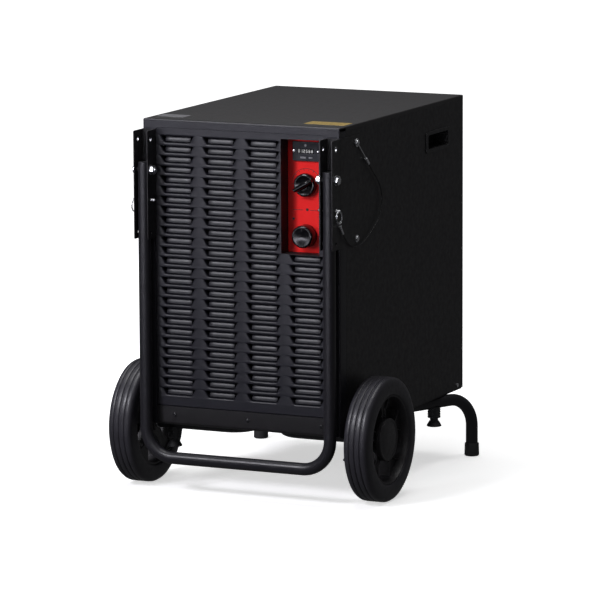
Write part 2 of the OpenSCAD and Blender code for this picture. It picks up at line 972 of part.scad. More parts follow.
module stub_feet() {
    color(rubber)
    both()
    for (p = [stub_a, stub_b])
        difference() {
            union() {
                cyl_z(93, leg_z - 8, p[0], p[1], 27);
                cyl_z(86, 93, p[0], p[1], 17);
                translate([p[0], p[1], 75.7])
                cylinder(d1 = 31, d2 = 20, h = 12);
            }
            translate([p[0], p[1], leg_z])
            rotate([0, 0, p[1] > 0 ? 90 - leg_a : 0])
            rotate([0, 90, 0])
            cylinder(d = tube_d, h = 60, center = true);
            cyl_z(74, 200, p[0], p[1], 8.4);
        }
}

module leg_bolts() {
    color(zinc)
    both()
    for (p = [stub_a, stub_b]) {
        cyl_z(78, bottom + 10, p[0], p[1], 8);
        cyl_z(bottom, bottom + 7, p[0], p[1], 15, $fn = 6);
    }
}

module axles() {
    color(zinc)
    both() {
        cyl_x(203, 230, axle_y, leg_z, 20.98);
        cyl_x(230, 232.7, axle_y, axle_z, 26);
        cyl_x(232, wheel_x - 12, axle_y, axle_z, 16);
        cyl_x(wheel_x - 14, wheel_x - 12, axle_y, axle_z, 24);
    }
}

// ---- wheels ----

module tyre() {
    r = wheel_d / 2;
    w = wheel_w;
    translate([wheel_x - w, axle_y, axle_z])
    rotate([0, 90, 0])
    rotate_extrude($fn = 72)
    polygon([[90, 3], [97, 0], [r - 10, 0], [r - 3, 3], [r, 8], [r, 14], [r - 2.5, 15.5],
        [r, 17], [r, 25.5], [r - 2.5, 27], [r, 28.5], [r, 37], [r - 2.5, 38.5], [r, 40],
        [r, w - 8], [r - 3, w - 3], [r - 10, w], [97, w], [90, w - 3]]);
}

module hub() {
    w = wheel_w;
    translate([wheel_x - w, axle_y, axle_z])
    rotate([0, 90, 0])
    difference() {
        union() {
            // rim, and five spokes cut from one thick disc
            translate([0, 0, 4])
            linear_extrude(w - 8)
            difference() {
                circle(d = 180);
                circle(d = 170);
            }
            translate([0, 0, 10])
            linear_extrude(26)
            difference() {
                circle(d = 176);
                for (a = [0:72:359])
                    rotate(a + 54)
                    spoke_gap();
            }
            cylinder(d = 40, h = w - 15);
        }
        translate([0, 0, -1])
        cylinder(d = 16.1, h = w + 2);
        translate([0, 0, w - 15])
        cylinder(d = 30, h = 10);
    }
}

// opening between two spokes, pointing along +X
module spoke_gap() {
    polygon([[26, -4], [26, 4], [66, 34], [79, 22], [83, 0], [79, -22], [66, -34]]);
}

module hub_cap() {
    w = wheel_w;
    translate([wheel_x - 17.7, axle_y, axle_z])
    rotate([0, 90, 0])
    difference() {
        union() {
            cylinder(d = 86, h = 10.7);
            translate([0, 0, 10.7])
            cylinder(d1 = 80, d2 = 70, h = 3);
        }
        translate([0, 0, -1])
        cylinder(d = 40.2, h = 9.7);
    }
}

module tyre_right() {
    color(rubber)
    tyre();
}

module tyre_left() {
    color(rubber)
    mirror([1, 0, 0])
    tyre();
}

module hub_right() {
    color(dark)
    hub();
}

module hub_left() {
    color(dark)
    mirror([1, 0, 0])
    hub();
}

module hub_cap_right() {
    color(dark)
    hub_cap();
}

module hub_cap_left() {
    color(dark)
    mirror([1, 0, 0])
    hub_cap();
}

// ---- small hardware ----

module base_screws() {
    color(zinc)
    for (x = [-150.5, 11, 172.5]) {
        cyl_y(front - 0.7, front + 1.5, x, bottom + 18.5, 8);
        cyl_y(front + 1.5, front + 12, x, bottom + 18.5, 4.2);
    }
}

module cover_screws() {
    color(zinc)
    both() {
        cyl_x(half, half + 2.2, front + 585, bottom + 8.4, 9);
        cyl_x(half - 8, half, front + 585, bottom + 8.4, 4);
    }
}

module cable_gland() {
    color(black)
    difference() {
        union() {
            cyl_y(rear - 14, rear + 8, -150, bottom + 120, 20);
            cyl_y(rear - 1.6, rear + 4, -150, bottom + 120, 28, $fn = 6);
            cyl_y(rear + 8, rear + 18, -150, bottom + 120, 22);
        }
        cyl_y(rear - 20, rear + 30, -150, bottom + 120, 9);
    }
}

module right_label(up) {
    box([118, front + 42, top - 0.3], [206, front + 84, top + up]);
}

module left_label(up) {
    box([-206, front + 42, top - 0.3], [-146, front + 78, top + up]);
}

module top_labels() {
    color([0.75, 0.68, 0.4])
    right_label(0);
    color([0.6, 0.6, 0.62])
    left_label(0);
}

base_pan();
front_frame();
front_panel();
wrap_cover();
rear_panel();
control_box();
control_plate();
hour_meter();
plate_screws();
humidistat();
mode_switch();
partition();
evaporator();
condenser();
coil_pipes();
drip_tray();
air_filter();
compressor();
compressor_mounts();
electrics_box();
fan_motor();
fan_shroud();
fan_guard();
grip_left();
grip_right();
bracket_left();
bracket_right();
bracket_screws();
pin_bushes();
pivot_bolts();
pivot_nuts();
cover_screws();
base_screws();
leg_tube_left();
leg_tube_right();
leg_ferrules();
stub_feet();
leg_bolts();
axles();
lanyard_eyes();
cable_gland();
top_labels();
handle_tube();
handle_plugs();
lock_pin_left();
lock_pin_right();
pin_ring_left();
pin_ring_right();
lanyard_left();
lanyard_right();
tyre_left();
tyre_right();
hub_left();
hub_right();
hub_cap_left();
hub_cap_right();
fan_rotor();
water_tank();
knob_humidistat();
knob_mode();
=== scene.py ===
"""Looks of a wheeled dehumidifier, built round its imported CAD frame.
"""

import json
from math import cos, hypot, pi, radians, sin, sqrt, tan

import bpy
from mathutils import Matrix, Vector


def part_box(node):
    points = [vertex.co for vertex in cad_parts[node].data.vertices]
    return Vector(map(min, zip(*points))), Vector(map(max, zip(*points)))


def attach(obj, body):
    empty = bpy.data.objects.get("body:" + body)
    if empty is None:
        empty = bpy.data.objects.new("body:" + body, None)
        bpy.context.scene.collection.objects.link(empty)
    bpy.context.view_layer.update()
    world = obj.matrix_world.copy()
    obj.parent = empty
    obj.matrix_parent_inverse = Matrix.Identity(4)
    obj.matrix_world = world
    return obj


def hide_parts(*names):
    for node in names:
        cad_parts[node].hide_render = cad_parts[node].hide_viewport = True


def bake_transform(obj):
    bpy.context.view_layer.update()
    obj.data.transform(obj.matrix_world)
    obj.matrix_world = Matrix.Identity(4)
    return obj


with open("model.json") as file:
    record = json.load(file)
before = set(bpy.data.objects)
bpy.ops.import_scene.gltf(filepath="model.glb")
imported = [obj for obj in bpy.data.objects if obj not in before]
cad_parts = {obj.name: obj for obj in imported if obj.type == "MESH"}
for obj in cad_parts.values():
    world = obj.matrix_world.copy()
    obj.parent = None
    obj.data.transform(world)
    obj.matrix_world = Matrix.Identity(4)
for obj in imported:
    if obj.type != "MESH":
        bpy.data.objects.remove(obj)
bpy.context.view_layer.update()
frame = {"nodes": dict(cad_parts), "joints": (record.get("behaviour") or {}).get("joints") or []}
MM = 0.001


def corners(node):
    """Low and high corner of a CAD node, in mm."""
    lo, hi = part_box(node)
    return [c / MM for c in lo], [c / MM for c in hi]


def joint(name):
    return next(j for j in frame["joints"] if j["name"] == name)


# ---- measures taken from the frame ----
HALF = corners("wrap_cover")[1][0]
FRONT = corners("front_frame")[0][1]
REAR = corners("wrap_cover")[1][1]
BOTTOM = corners("wrap_cover")[0][2]
TOP = corners("wrap_cover")[1][2] - 0.2
PANEL_LO = corners("front_panel")[0]
PANEL_HI = corners("front_panel")[1]
TUBE_R = (corners("handle_tube")[1][1] - corners("handle_tube")[0][1]) / 2
HANDLE_X = corners("handle_tube")[1][0] - TUBE_R
HANDLE_Y = corners("handle_tube")[0][1] + TUBE_R
HANDLE_TOP = corners("handle_tube")[1][2]
BAR_Z = corners("handle_tube")[0][2] + TUBE_R
PIVOT_Z = joint("handle_swing")["pos_m"][2] / MM
PIN_Z = (corners("lock_pin_right")[0][2] + corners("lock_pin_right")[1][2]) / 2
BRACKET_LO = corners("bracket_right")[0]
BRACKET_HI = corners("bracket_right")[1]
UPPER_Z = (corners("pin_bushes")[0][2] + corners("pin_bushes")[1][2]) / 2
LOWER_Z = PIVOT_Z - 125.5
SCREW_Y = (corners("bracket_screws")[0][1] + corners("bracket_screws")[1][1]) / 2
SCREW_Z = [corners("bracket_screws")[0][2] + 7.5, corners("bracket_screws")[1][2] - 7.5]
WHEEL_LO = corners("tyre_right")[0]
WHEEL_HI = corners("tyre_right")[1]
WHEEL_R = (WHEEL_HI[2] - WHEEL_LO[2]) / 2
AXLE_Y = (WHEEL_HI[1] + WHEEL_LO[1]) / 2
AXLE_Z = WHEEL_R
KNOB_X = joint("humidistat_turn")["pos_m"][0] / MM
KNOB1_Z = joint("humidistat_turn")["pos_m"][2] / MM
KNOB2_Z = joint("mode_turn")["pos_m"][2] / MM
KNOB_R = (corners("knob_mode")[1][2] - corners("knob_mode")[0][2]) / 2
PLATE_LO = corners("control_plate")[0]
PLATE_HI = corners("control_plate")[1]
METER_LO = corners("hour_meter")[0]
METER_HI = corners("hour_meter")[1]
GRIP_LO = corners("grip_right")[0]
GRIP_HI = corners("grip_right")[1]
FAN_Z = joint("fan_spin")["pos_m"][2] / MM


# ---- camera ----
def aim(cam, yaw, pitch, roll):
    """Turns the camera: yaw to the left of +Y, pitch down, roll, in degrees."""
    y, p, r = (radians(a) for a in (yaw, pitch, roll))
    ahead = Vector((-sin(y) * cos(p), cos(y) * cos(p), -sin(p)))
    right = Vector((cos(y), sin(y), 0))
    up = right.cross(ahead)
    right2 = cos(r) * right + sin(r) * up
    up2 = -sin(r) * right + cos(r) * up
    turn = Matrix((right2, up2, -ahead)).transposed()
    cam.matrix_world = Matrix.Translation(cam.location) @ turn.to_4x4()


LENS = 280.1
CAMERA_AT = (3.98764, -8.53137, 1.88055)
YAW, PITCH, ROLL = 25.12, 9.19, -0.28
cam_data = bpy.data.cameras.new("camera")
cam_data.lens = LENS
cam_data.sensor_width = 36
cam_data.clip_end = 100
camera = bpy.data.objects.new("camera", cam_data)
bpy.context.scene.collection.objects.link(camera)
camera.location = CAMERA_AT
aim(camera, YAW, PITCH, ROLL)
bpy.context.scene.camera = camera


# ---- materials ----
def material(name, color, rough, metallic=0.0, specular=0.5, coat=0.0, grain=0.0, grain_scale=900.0,
             mottle=0.06, patch=40.0, rough_spread=0.08, stretch=(1, 1, 1)):
    """Procedural paint, metal or plastic: colour mottling, roughness patches and fine surface grain."""
    m = bpy.data.materials.new(name)
    m.use_nodes = True
    nodes, links = m.node_tree.nodes, m.node_tree.links
    bsdf = nodes["Principled BSDF"]
    coords = nodes.new("ShaderNodeTexCoord")
    mapping = nodes.new("ShaderNodeMapping")
    mapping.inputs["Scale"].default_value = stretch
    links.new(coords.outputs["Object"], mapping.inputs["Vector"])

    def noise(scale, detail):
        n = nodes.new("ShaderNodeTexNoise")
        n.inputs["Scale"].default_value = scale
        n.inputs["Detail"].default_value = detail
        links.new(mapping.outputs["Vector"], n.inputs["Vector"])
        return n

    patches = noise(patch, 5)
    ramp = nodes.new("ShaderNodeValToRGB")
    ramp.color_ramp.elements[0].position = 0.3
    ramp.color_ramp.elements[1].position = 0.7
    ramp.color_ramp.elements[0].color = [c * (1 - mottle) for c in color] + [1]
    ramp.color_ramp.elements[1].color = [min(1, c * (1 + mottle)) for c in color] + [1]
    links.new(patches.outputs["Fac"], ramp.inputs["Fac"])
    links.new(ramp.outputs["Color"], bsdf.inputs["Base Color"])
    wear = noise(patch * 2.7, 8)
    spread = nodes.new("ShaderNodeMapRange")
    spread.inputs["From Min"].default_value = 0.3
    spread.inputs["From Max"].default_value = 0.7
    spread.inputs["To Min"].default_value = max(0.02, rough - rough_spread)
    spread.inputs["To Max"].default_value = min(1, rough + rough_spread)
    links.new(wear.outputs["Fac"], spread.inputs["Value"])
    links.new(spread.outputs["Result"], bsdf.inputs["Roughness"])
    if grain:
        fine = noise(grain_scale, 3)
        bump = nodes.new("ShaderNodeBump")
        bump.inputs["Strength"].default_value = grain
        bump.inputs["Distance"].default_value = 0.0004
        links.new(fine.outputs["Fac"], bump.inputs["Height"])
        links.new(bump.outputs["Normal"], bsdf.inputs["Normal"])
    bsdf.inputs["Metallic"].default_value = metallic
    bsdf.inputs["Specular IOR Level"].default_value = specular
    bsdf.inputs["Coat Weight"].default_value = coat
    bsdf.inputs["Coat Roughness"].default_value = 0.12
    m.diffuse_color = list(color) + [1]
    return m


BLACK_PAINT = material("black powder coat", (0.0110, 0.0108, 0.0155), 0.40, grain=0.25, grain_scale=1400,
                       mottle=0.03,
                       rough_spread=0.03)
SIDE_PAINT = material("black powder coat sides", (0.012, 0.0112, 0.0128), 0.45, grain=0.25, grain_scale=1400)
# Lighter copy of the black powder coat for the lid: painted light, the top shown as lit from above.
LID_PAINT_LIT_TOP = material("black powder coat lid, painted lighter top", (0.0185, 0.0176, 0.0185), 0.45, grain=0.25, grain_scale=1400,
                     mottle=0.02,
                     rough_spread=0.02)
# Darker copy of the black paint for the control recess walls and the grip pockets: painted shade inside these
# hollows.
RECESS_SHADE_PAINT = material("black paint, painted recess shade", (0.008, 0.008, 0.009), 0.6, grain=0.2)
TUBE_PAINT = material("satin tube paint", (0.014, 0.0135, 0.017), 0.36, grain=0.12, grain_scale=700)
RED_PAINT = material("red plate paint", (0.80, 0.018, 0.018), 0.5, specular=0.15, grain=0.08, mottle=0.04)
ZINC = material("zinc plate", (0.66, 0.67, 0.69), 0.3, metallic=1, grain=0.3, grain_scale=1200, mottle=0.12)
WIRE = material("coated wire", (0.012, 0.012, 0.013), 0.5, grain=0.5, grain_scale=2500)
KNOB = material("gloss black knob", (0.004, 0.004, 0.005), 0.15, specular=0.45, grain=0.05, rough_spread=0.04)
BEZEL = material("meter bezel", (0.014, 0.0145, 0.019), 0.5, specular=0.35, grain=0.35, grain_scale=1800)
WINDOW = material("meter window", (0.003, 0.003, 0.004), 0.3, specular=0.08, rough_spread=0.03)
DIGIT = material("meter digits", (0.7, 0.7, 0.68), 0.5)
PLASTIC = material("black moulded plastic", (0.02, 0.02, 0.022), 0.5, grain=0.35, grain_scale=1100)
HUB = material("hub plastic", (0.030, 0.0285, 0.0315), 0.44, grain=0.3, grain_scale=800)
TYRE = material("tyre rubber", (0.026, 0.025, 0.031), 0.38, grain=0.3, grain_scale=500, mottle=0.12)
RUBBER = material("foot rubber", (0.03, 0.03, 0.033), 0.55, grain=0.4, grain_scale=900, mottle=0.12)
PRINT = material("black print", (0.01, 0.008, 0.008), 0.5)
GOLD = material("gold foil label", (0.42, 0.3, 0.09), 0.4, metallic=0.5, mottle=0.25, patch=160)
SILVER = material("silver label", (0.2, 0.2, 0.21), 0.42, metallic=0.5, mottle=0.2, patch=160)
STEEL = material("inner steel", (0.3, 0.31, 0.32), 0.42, metallic=0.9, grain=0.2, stretch=(1, 1, 8))
FINS = material("aluminium fins", (0.5, 0.51, 0.53), 0.4, metallic=0.9, grain=0.9, grain_scale=60,
                stretch=(40, 1, 1), mottle=0.3)
COPPER = material("copper pipe", (0.62, 0.3, 0.17), 0.34, metallic=1, grain=0.15, mottle=0.2)
WHITE_PLASTIC = material("white plastic", (0.62, 0.63, 0.62), 0.45, grain=0.15)
TANK_PLASTIC = material("tank plastic", (0.55, 0.58, 0.6), 0.4, grain=0.2, mottle=0.08)
FOAM = material("filter foam", (0.012, 0.012, 0.012), 0.9, grain=1.0, grain_scale=260)
ENAMEL = material("compressor enamel", (0.012, 0.012, 0.014), 0.25, coat=0.3, grain=0.1)


# ---- mesh tools ----
def piece(name, verts, faces, mat, body="cabinet", slot=None, replaces=(), angle=40, bevel=0.0):
    """A mesh piece from mm points, smooth under the angle, riding on a body."""
    mesh = bpy.data.meshes.new(name)
    mesh.from_pydata([Vector(v) * MM for v in verts], [], faces)
    mesh.validate()
    mesh.update()
    obj = bpy.data.objects.new(name, mesh)
    return dress(obj, mat, body, replaces, angle, bevel)


def dress(obj, mat, body, replaces, angle=40, bevel=0.0):
    if not obj.users_collection:
        bpy.context.scene.collection.objects.link(obj)
    mesh = obj.data
    mesh.materials.clear()
    mesh.materials.append(mat)
    mesh.shade_smooth()
    mesh.set_sharp_from_angle(angle=radians(angle))
    if bevel:
        add_bevel(obj, bevel)
    if body:
        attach(obj, body)
    if replaces:
        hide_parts(*replaces)
    return obj


def add_bevel(obj, width, segments=2):
    b = obj.modifiers.new("rounded edges", "BEVEL")
    b.width = width * MM
    b.segments = segments
    b.limit_method = "ANGLE"
    b.angle_limit = radians(35)
    b.harden_normals = True
    return b


def merged(*parts):
    """Several (verts, faces) as one."""
    verts, faces = [], []
    for v, f in parts:
        n = len(verts)
        verts += list(v)
        faces += [[i + n for i in face] for face in f]
    return verts, faces


def mirrored(part):
    v, f = part
    return [(-x, y, z) for x, y, z in v], [list(reversed(face)) for face in f]


def box(lo, hi):
    (x0, y0, z0), (x1, y1, z1) = lo, hi
    v = [(x, y, z) for z in (z0, z1) for y in (y0, y1) for x in (x0, x1)]
    return v, [[0, 2, 3, 1], [4, 5, 7, 6], [0, 1, 5, 4], [2, 6, 7, 3], [0, 4, 6, 2], [1, 3, 7, 5]]


def place(axis, centre, a, b, h):
    """A point at (a, b) across an axis and h along it."""
    cx, cy, cz = centre
    if axis == "x":
        return (cx + h, cy + a, cz + b)
    if axis == "y":
        return (cx + a, cy + h, cz + b)
    return (cx + a, cy + b, cz + h)


def lathe(profile, axis, centre, seg=48, closed=False):
    """Turns (radius, height) points about an axis through centre."""
    verts, faces = [], []
    n = len(profile)
    for k in range(seg):
        t = 2 * pi * k / seg
        for r, h in profile:
            r = max(r, 0.001)
            verts.append(place(axis, centre, r * cos(t), r * sin(t), h))
    last = n if closed else n - 1
    for k in range(seg):
        k2 = (k + 1) % seg
        for i in range(last):
            j = (i + 1) % n
            faces.append([k * n + i, k2 * n + i, k2 * n + j, k * n + j])
    if axis == "y":
        faces = [list(reversed(f)) for f in faces]
    return verts, faces


def sweep(path, r, seg=20, caps=True, closed=False):
    """A round tube of radius r along a path of points."""
    pts = [Vector(p) for p in path]
    m = len(pts)
    tangents = []
    for i in range(m):
        a = pts[(i - 1) % m] if closed or i > 0 else pts[i]
        b = pts[(i + 1) % m] if closed or i < m - 1 else pts[i]
        tangents.append((b - a).normalized())
    side = tangents[0].orthogonal().normalized()
    verts, faces = [], []
    for i in range(m):
        side = (side - tangents[i] * side.dot(tangents[i])).normalized()
        up = tangents[i].cross(side)
        for k in range(seg):
            t = 2 * pi * k / seg
            verts.append(tuple(pts[i] + r * (cos(t) * side + sin(t) * up)))
    rings = m if closed else m - 1
    for i in range(rings):
        j = (i + 1) % m
        for k in range(seg):
            k2 = (k + 1) % seg
            faces.append([i * seg + k, i * seg + k2, j * seg + k2, j * seg + k])
    if caps and not closed:
        faces.append(list(reversed(range(seg))))
        faces.append([(m - 1) * seg + k for k in range(seg)])
    return verts, faces


def bent(points, radii, n=14):
    """A path through corner points, each corner rounded to its radius."""
    pts = [Vector(p) for p in points]
    out = [pts[0]]
    for i in range(1, len(pts) - 1):
        r = radii if isinstance(radii, (int, float)) else radii[i - 1]
        a = (pts[i - 1] - pts[i]).normalized()
        b = (pts[i + 1] - pts[i]).normalized()
        half = a.angle(b) / 2
        reach = r / tan(half)
        centre = pts[i] + (a + b).normalized() * (r / sin(half))
        p, q = pts[i] + a * reach - centre, pts[i] + b * reach - centre
        turn = p.angle(q)
        axis = p.cross(q).normalized()
        for k in range(n + 1):
            out.append(centre + Matrix.Rotation(turn * k / n, 3, axis) @ p)
    out.append(pts[-1])
    return out


def arc(cx, cy, r, a0, a1, n=6):
    return [(cx + r * cos(radians(a0 + (a1 - a0) * k / n)),
             cy + r * sin(radians(a0 + (a1 - a0) * k / n))) for k in range(n + 1)]


def circle(cx, cy, r, n=32):
    return arc(cx, cy, r, 0, 360 * (n - 1) / n, n - 1)


def rounded(a0, b0, a1, b1, r, n=6):
    """Outline of a rectangle with rounded corners."""
    return (arc(a1 - r, b0 + r, r, -90, 0, n) + arc(a1 - r, b1 - r, r, 0, 90, n)
            + arc(a0 + r, b1 - r, r, 90, 180, n) + arc(a0 + r, b0 + r, r, 180, 270, n))


def extrude(profile, axis, h0, h1):
    """A closed 2D profile as a solid bar. For axis x it is (y, z), for y (x, z), for z (x, y)."""
    n = len(profile)

    def at(a, b, h):
        return (h, a, b) if axis == "x" else (a, h, b) if axis == "y" else (a, b, h)

    verts = [at(a, b, h) for h in (h0, h1) for a, b in profile]
    faces = [[i, (i + 1) % n, n + (i + 1) % n, n + i] for i in range(n)]
    faces += [list(reversed(range(n))), [n + i for i in range(n)]]
    return verts, faces


def bent_sheet(line, t):
    """Closed profile of a sheet of thickness t, on the left of an open line of 2D points."""
    pts = [Vector(p) for p in line]
    back = []
    for i, p in enumerate(pts):
        a = (p - pts[i - 1]).normalized() if i else (pts[1] - p).normalized()
        b = (pts[i + 1] - p).normalized() if i < len(pts) - 1 else a
        d = (a + b).normalized()
        k = t / max(0.3, d.dot(a))
        back.append((p.x - d.y * k, p.y + d.x * k))
    return [tuple(p) for p in pts] + back[::-1]


def plate(name, outline, holes, axis, h0, h1, mat, body="cabinet", slot=None, replaces=(), edge=0.4):
    """A flat plate with holes and rounded edges, cut in the plane across an axis, from h0 to h1 along it."""
    data = bpy.data.curves.new(name, "CURVE")
    data.dimensions = "2D"
    data.fill_mode = "BOTH"
    for loop in [outline, *holes]:
        s = data.splines.new("POLY")
        s.points.add(len(loop) - 1)
        for p, (a, b) in zip(s.points, loop):
            p.co = (a * MM, b * MM, 0, 1)
        s.use_cyclic_u = True
    t = (h1 - h0) / 2
    edge = min(edge, t * 0.9)
    data.extrude = (t - edge) * MM
    data.bevel_depth = edge * MM
    data.bevel_resolution = 1
    data.offset = -edge * MM
    temp = bpy.data.objects.new(name, data)
    bpy.context.scene.collection.objects.link(temp)
    bpy.context.view_layer.update()
    mesh = bpy.data.meshes.new_from_object(temp.evaluated_get(bpy.context.evaluated_depsgraph_get()))
    bpy.data.objects.remove(temp)
    mid = (h0 + h1) / 2 * MM
    turn = {"x": Matrix(((0, 0, 1, mid), (1, 0, 0, 0), (0, 1, 0, 0), (0, 0, 0, 1))),
            "y": Matrix(((1, 0, 0, 0), (0, 0, -1, mid), (0, 1, 0, 0), (0, 0, 0, 1))),
            "z": Matrix(((1, 0, 0, 0), (0, 1, 0, 0), (0, 0, 1, mid), (0, 0, 0, 1)))}[axis]
    mesh.transform(turn)
    mesh.name = name
    obj = bpy.data.objects.new(name, mesh)
    return dress(obj, mat, body, replaces, 32)


def both_sides(name, part, mat, bodies=("cabinet", "cabinet"), slot=None, replaces=((), ()), **more):
    """The part on the right and its mirror on the left, as two pieces."""
    right = piece(name + "_right", *part, mat, bodies[1], slot, replaces[1], **more)
    left = piece(name + "_left", *mirrored(part), mat, bodies[0], slot, replaces[0], **more)
    return left, right


# ---- lanyards: the only free cords ----
LANYARD_D = 2.4
LANYARD = [(221, -301, 551), (221, -296, 545), (221, -280, 529), (220.5, -255, 517), (220.5, -225, 512),
           (220, -195, 518), (220, -165, 530), (220, -140, 544), (220, -121, 559), (220, -110, 577),
           (220, -109, 598), (220, -117, 619), (220, -135, 638), (220, -157, 656), (220, -174, 672),
           (220, -180, 677.5)]


def smooth_line(points, n=8):
    """Points on a smooth curve through the given ones."""
    pts = [Vector(p) for p in points]
    out = []
    for i in range(len(pts) - 1):
        a, b, c, d = pts[max(0, i - 1)], pts[i], pts[i + 1], pts[min(len(pts) - 1, i + 2)]
        for k in range(n):
            u = k / n
            out.append(0.5 * (2 * b + (c - a) * u + (2 * a - 5 * b + 4 * c - d) * u * u
                              + (3 * b - a - 3 * c + d) * u * u * u))
    return out + [pts[-1]]


def lanyard(side):
    line = [Vector((side * p.x, p.y, p.z)) for p in smooth_line(LANYARD)]
    name = "lanyard_wire_" + ("right" if side > 0 else "left")
    verts, faces = sweep(line, LANYARD_D / 2, 10)
    node = "lanyard_right" if side > 0 else "lanyard_left"
    obj = piece(name, verts, faces, WIRE, None, "wire", (node,))
    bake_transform(obj)


lanyard(1)
lanyard(-1)


# ---- cabinet ----
def cabinet_shell():
    r = 2.5
    sheet = 1.5
    # lid: one sheet bent down at both sides, with a joint line behind the frame
    roof = bent_sheet([(HALF, TOP - 8)] + arc(HALF - r, TOP - r, r, 0, 90) + arc(-HALF + r, TOP - r, r, 90,
                                                                                 180)
                      + [(-HALF, TOP - 8)], sheet)
    # The lid gets the lighter copy of the coat: painted light on the top.
    piece("lid", *extrude(roof, "y", FRONT + 8.6, REAR), LID_PAINT_LIT_TOP, slot="black_paint",
          replaces=("wrap_cover",))
    piece("lid_front_cap", *extrude(roof, "y", FRONT + r, FRONT + 8), BLACK_PAINT, slot="black_paint")
    # face of the frame with the rounded opening, and its bent edges
    open_x = PANEL_HI[0] + 0.4
    open_z = PANEL_HI[2] + 0.4
    outline = [(-HALF + r, BOTTOM), (-open_x - 0.01, BOTTOM), (-open_x, open_z - 12)]
    outline += arc(-open_x + 12, open_z - 12, 12, 180, 90) + arc(open_x - 12, open_z - 12, 12, 90, 0)
    outline += [(open_x + 0.01, BOTTOM), (HALF - r, BOTTOM), (HALF - r, TOP - r), (-HALF + r, TOP - r)]
    plate("frame_face", outline, [], "y", FRONT, FRONT + sheet, BLACK_PAINT, slot="black_paint",
          replaces=("front_frame",), edge=0.3)
    top_bend = bent_sheet([(FRONT + 6, TOP)] + [(y, z) for y, z in arc(FRONT + r, TOP - r, r, 90, 180)],
                          sheet)
    side_bend = bent_sheet(arc(HALF - r, FRONT + r, r, -90, 0) + [(HALF, FRONT + 28)], sheet)
    ball = lathe([(r * sin(radians(a)), r * cos(radians(a))) for a in range(0, 181, 15)], "z",
                 (HALF - r, FRONT + r, TOP - r), 24)
    bends = merged(extrude(top_bend, "x", -HALF + r, HALF - r), extrude(side_bend, "z", BOTTOM, TOP - r),
                   mirrored(extrude(side_bend, "z", BOTTOM, TOP - r)), ball, mirrored(ball))
    piece("frame_bends", *bends, BLACK_PAINT, slot="black_paint")
    # sides with the hole for the grip
    g0, g1 = GRIP_LO[1] + 4, GRIP_HI[1] - 4
    z0, z1 = GRIP_LO[2] + 3, GRIP_HI[2] - 3
    side = [(FRONT + 28.7, BOTTOM), (REAR, BOTTOM), (REAR, TOP - 7.8), (FRONT + 28.7, TOP - 7.8)]
    for s, word in ((1, "right"), (-1, "left")):
        lo, hi = sorted((s * (HALF - sheet), s * HALF))
        plate("side_" + word, side, [rounded(g0, z0, g1, z1, 6)], "x", lo, hi, SIDE_PAINT, slot="black_paint",
              edge=0.3)


def base_pan():
    x = HALF - 1.8
    line = [(FRONT + 1.5, PANEL_LO[2])] + arc(FRONT + 8.5, BOTTOM + 4.5, 7, 180,
                                              270) + [(REAR - 3.1, BOTTOM - 2.5)]
    floor = extrude(bent_sheet(line, 2.5), "x", -x, x)
    lip = box((x - 1.8, FRONT + 3, BOTTOM - 1), (x, REAR - 6, BOTTOM + 25))
    tank = corners("water_tank")
    runs = [box((tank[0][0] + d, 45, BOTTOM - 1), (tank[0][0] + d + 20, REAR - 6, tank[0][2] - 0.3))
            for d in (17.5, 137.5)]
    piece("pan", *merged(floor, lip, mirrored(lip), *runs), SIDE_PAINT, slot="black_paint",
          replaces=("base_pan",))


# ---- louvred panel ----
LOUVRE_PITCH = 20.4
LOUVRE_H = 13.6
LOUVRE_TOP_HALF = 36.25
LOUVRE_FOOT_HALF = 27.75
LOUVRE_Z0 = BOTTOM + 58.6
COLUMN_X = (-141, -47, 47)
SHORT_X = 142
ROWS = 26
SHORT_ROWS = 15
BLADE_IN = 3.4
BLADE_LEAN = 4.4
BLADE_FOOT = 2.3


def trapezoid(grow, up=None):
    """Outline of a louvre opening, grown outwards, as points side by side with those of the cell's edge."""
    g = grow
    up = g if up is None else up
    a, b, h = LOUVRE_FOOT_HALF, LOUVRE_TOP_HALF, LOUVRE_H
    r = 2.6
    out = []
    corner_pts = [Vector((-a - g * 0.7, -g)), Vector((a + g * 0.7, -g)), Vector((b + g, h + up)),
                  Vector((-b - g, h + up))]
    radii = [r + g * 0.5, r + g * 0.5, 1.0 + g * 0.4, 1.0 + g * 0.4]
    for i in range(4):
        p, c, q = corner_pts[i - 1], corner_pts[i], corner_pts[(i + 1) % 4]
        u, v = (p - c).normalized(), (q - c).normalized()
        for k in range(5):
            t = k / 4
            s, e = c + u * radii[i], c + v * radii[i]
            out.append((1 - t) ** 2 * s + 2 * t * (1 - t) * c + t * t * e)
        for k in range(1, 5):
            out.append((c + v * radii[i]).lerp(q - (q - c).normalized() * radii[(i + 1) % 4], k / 5))
    return out


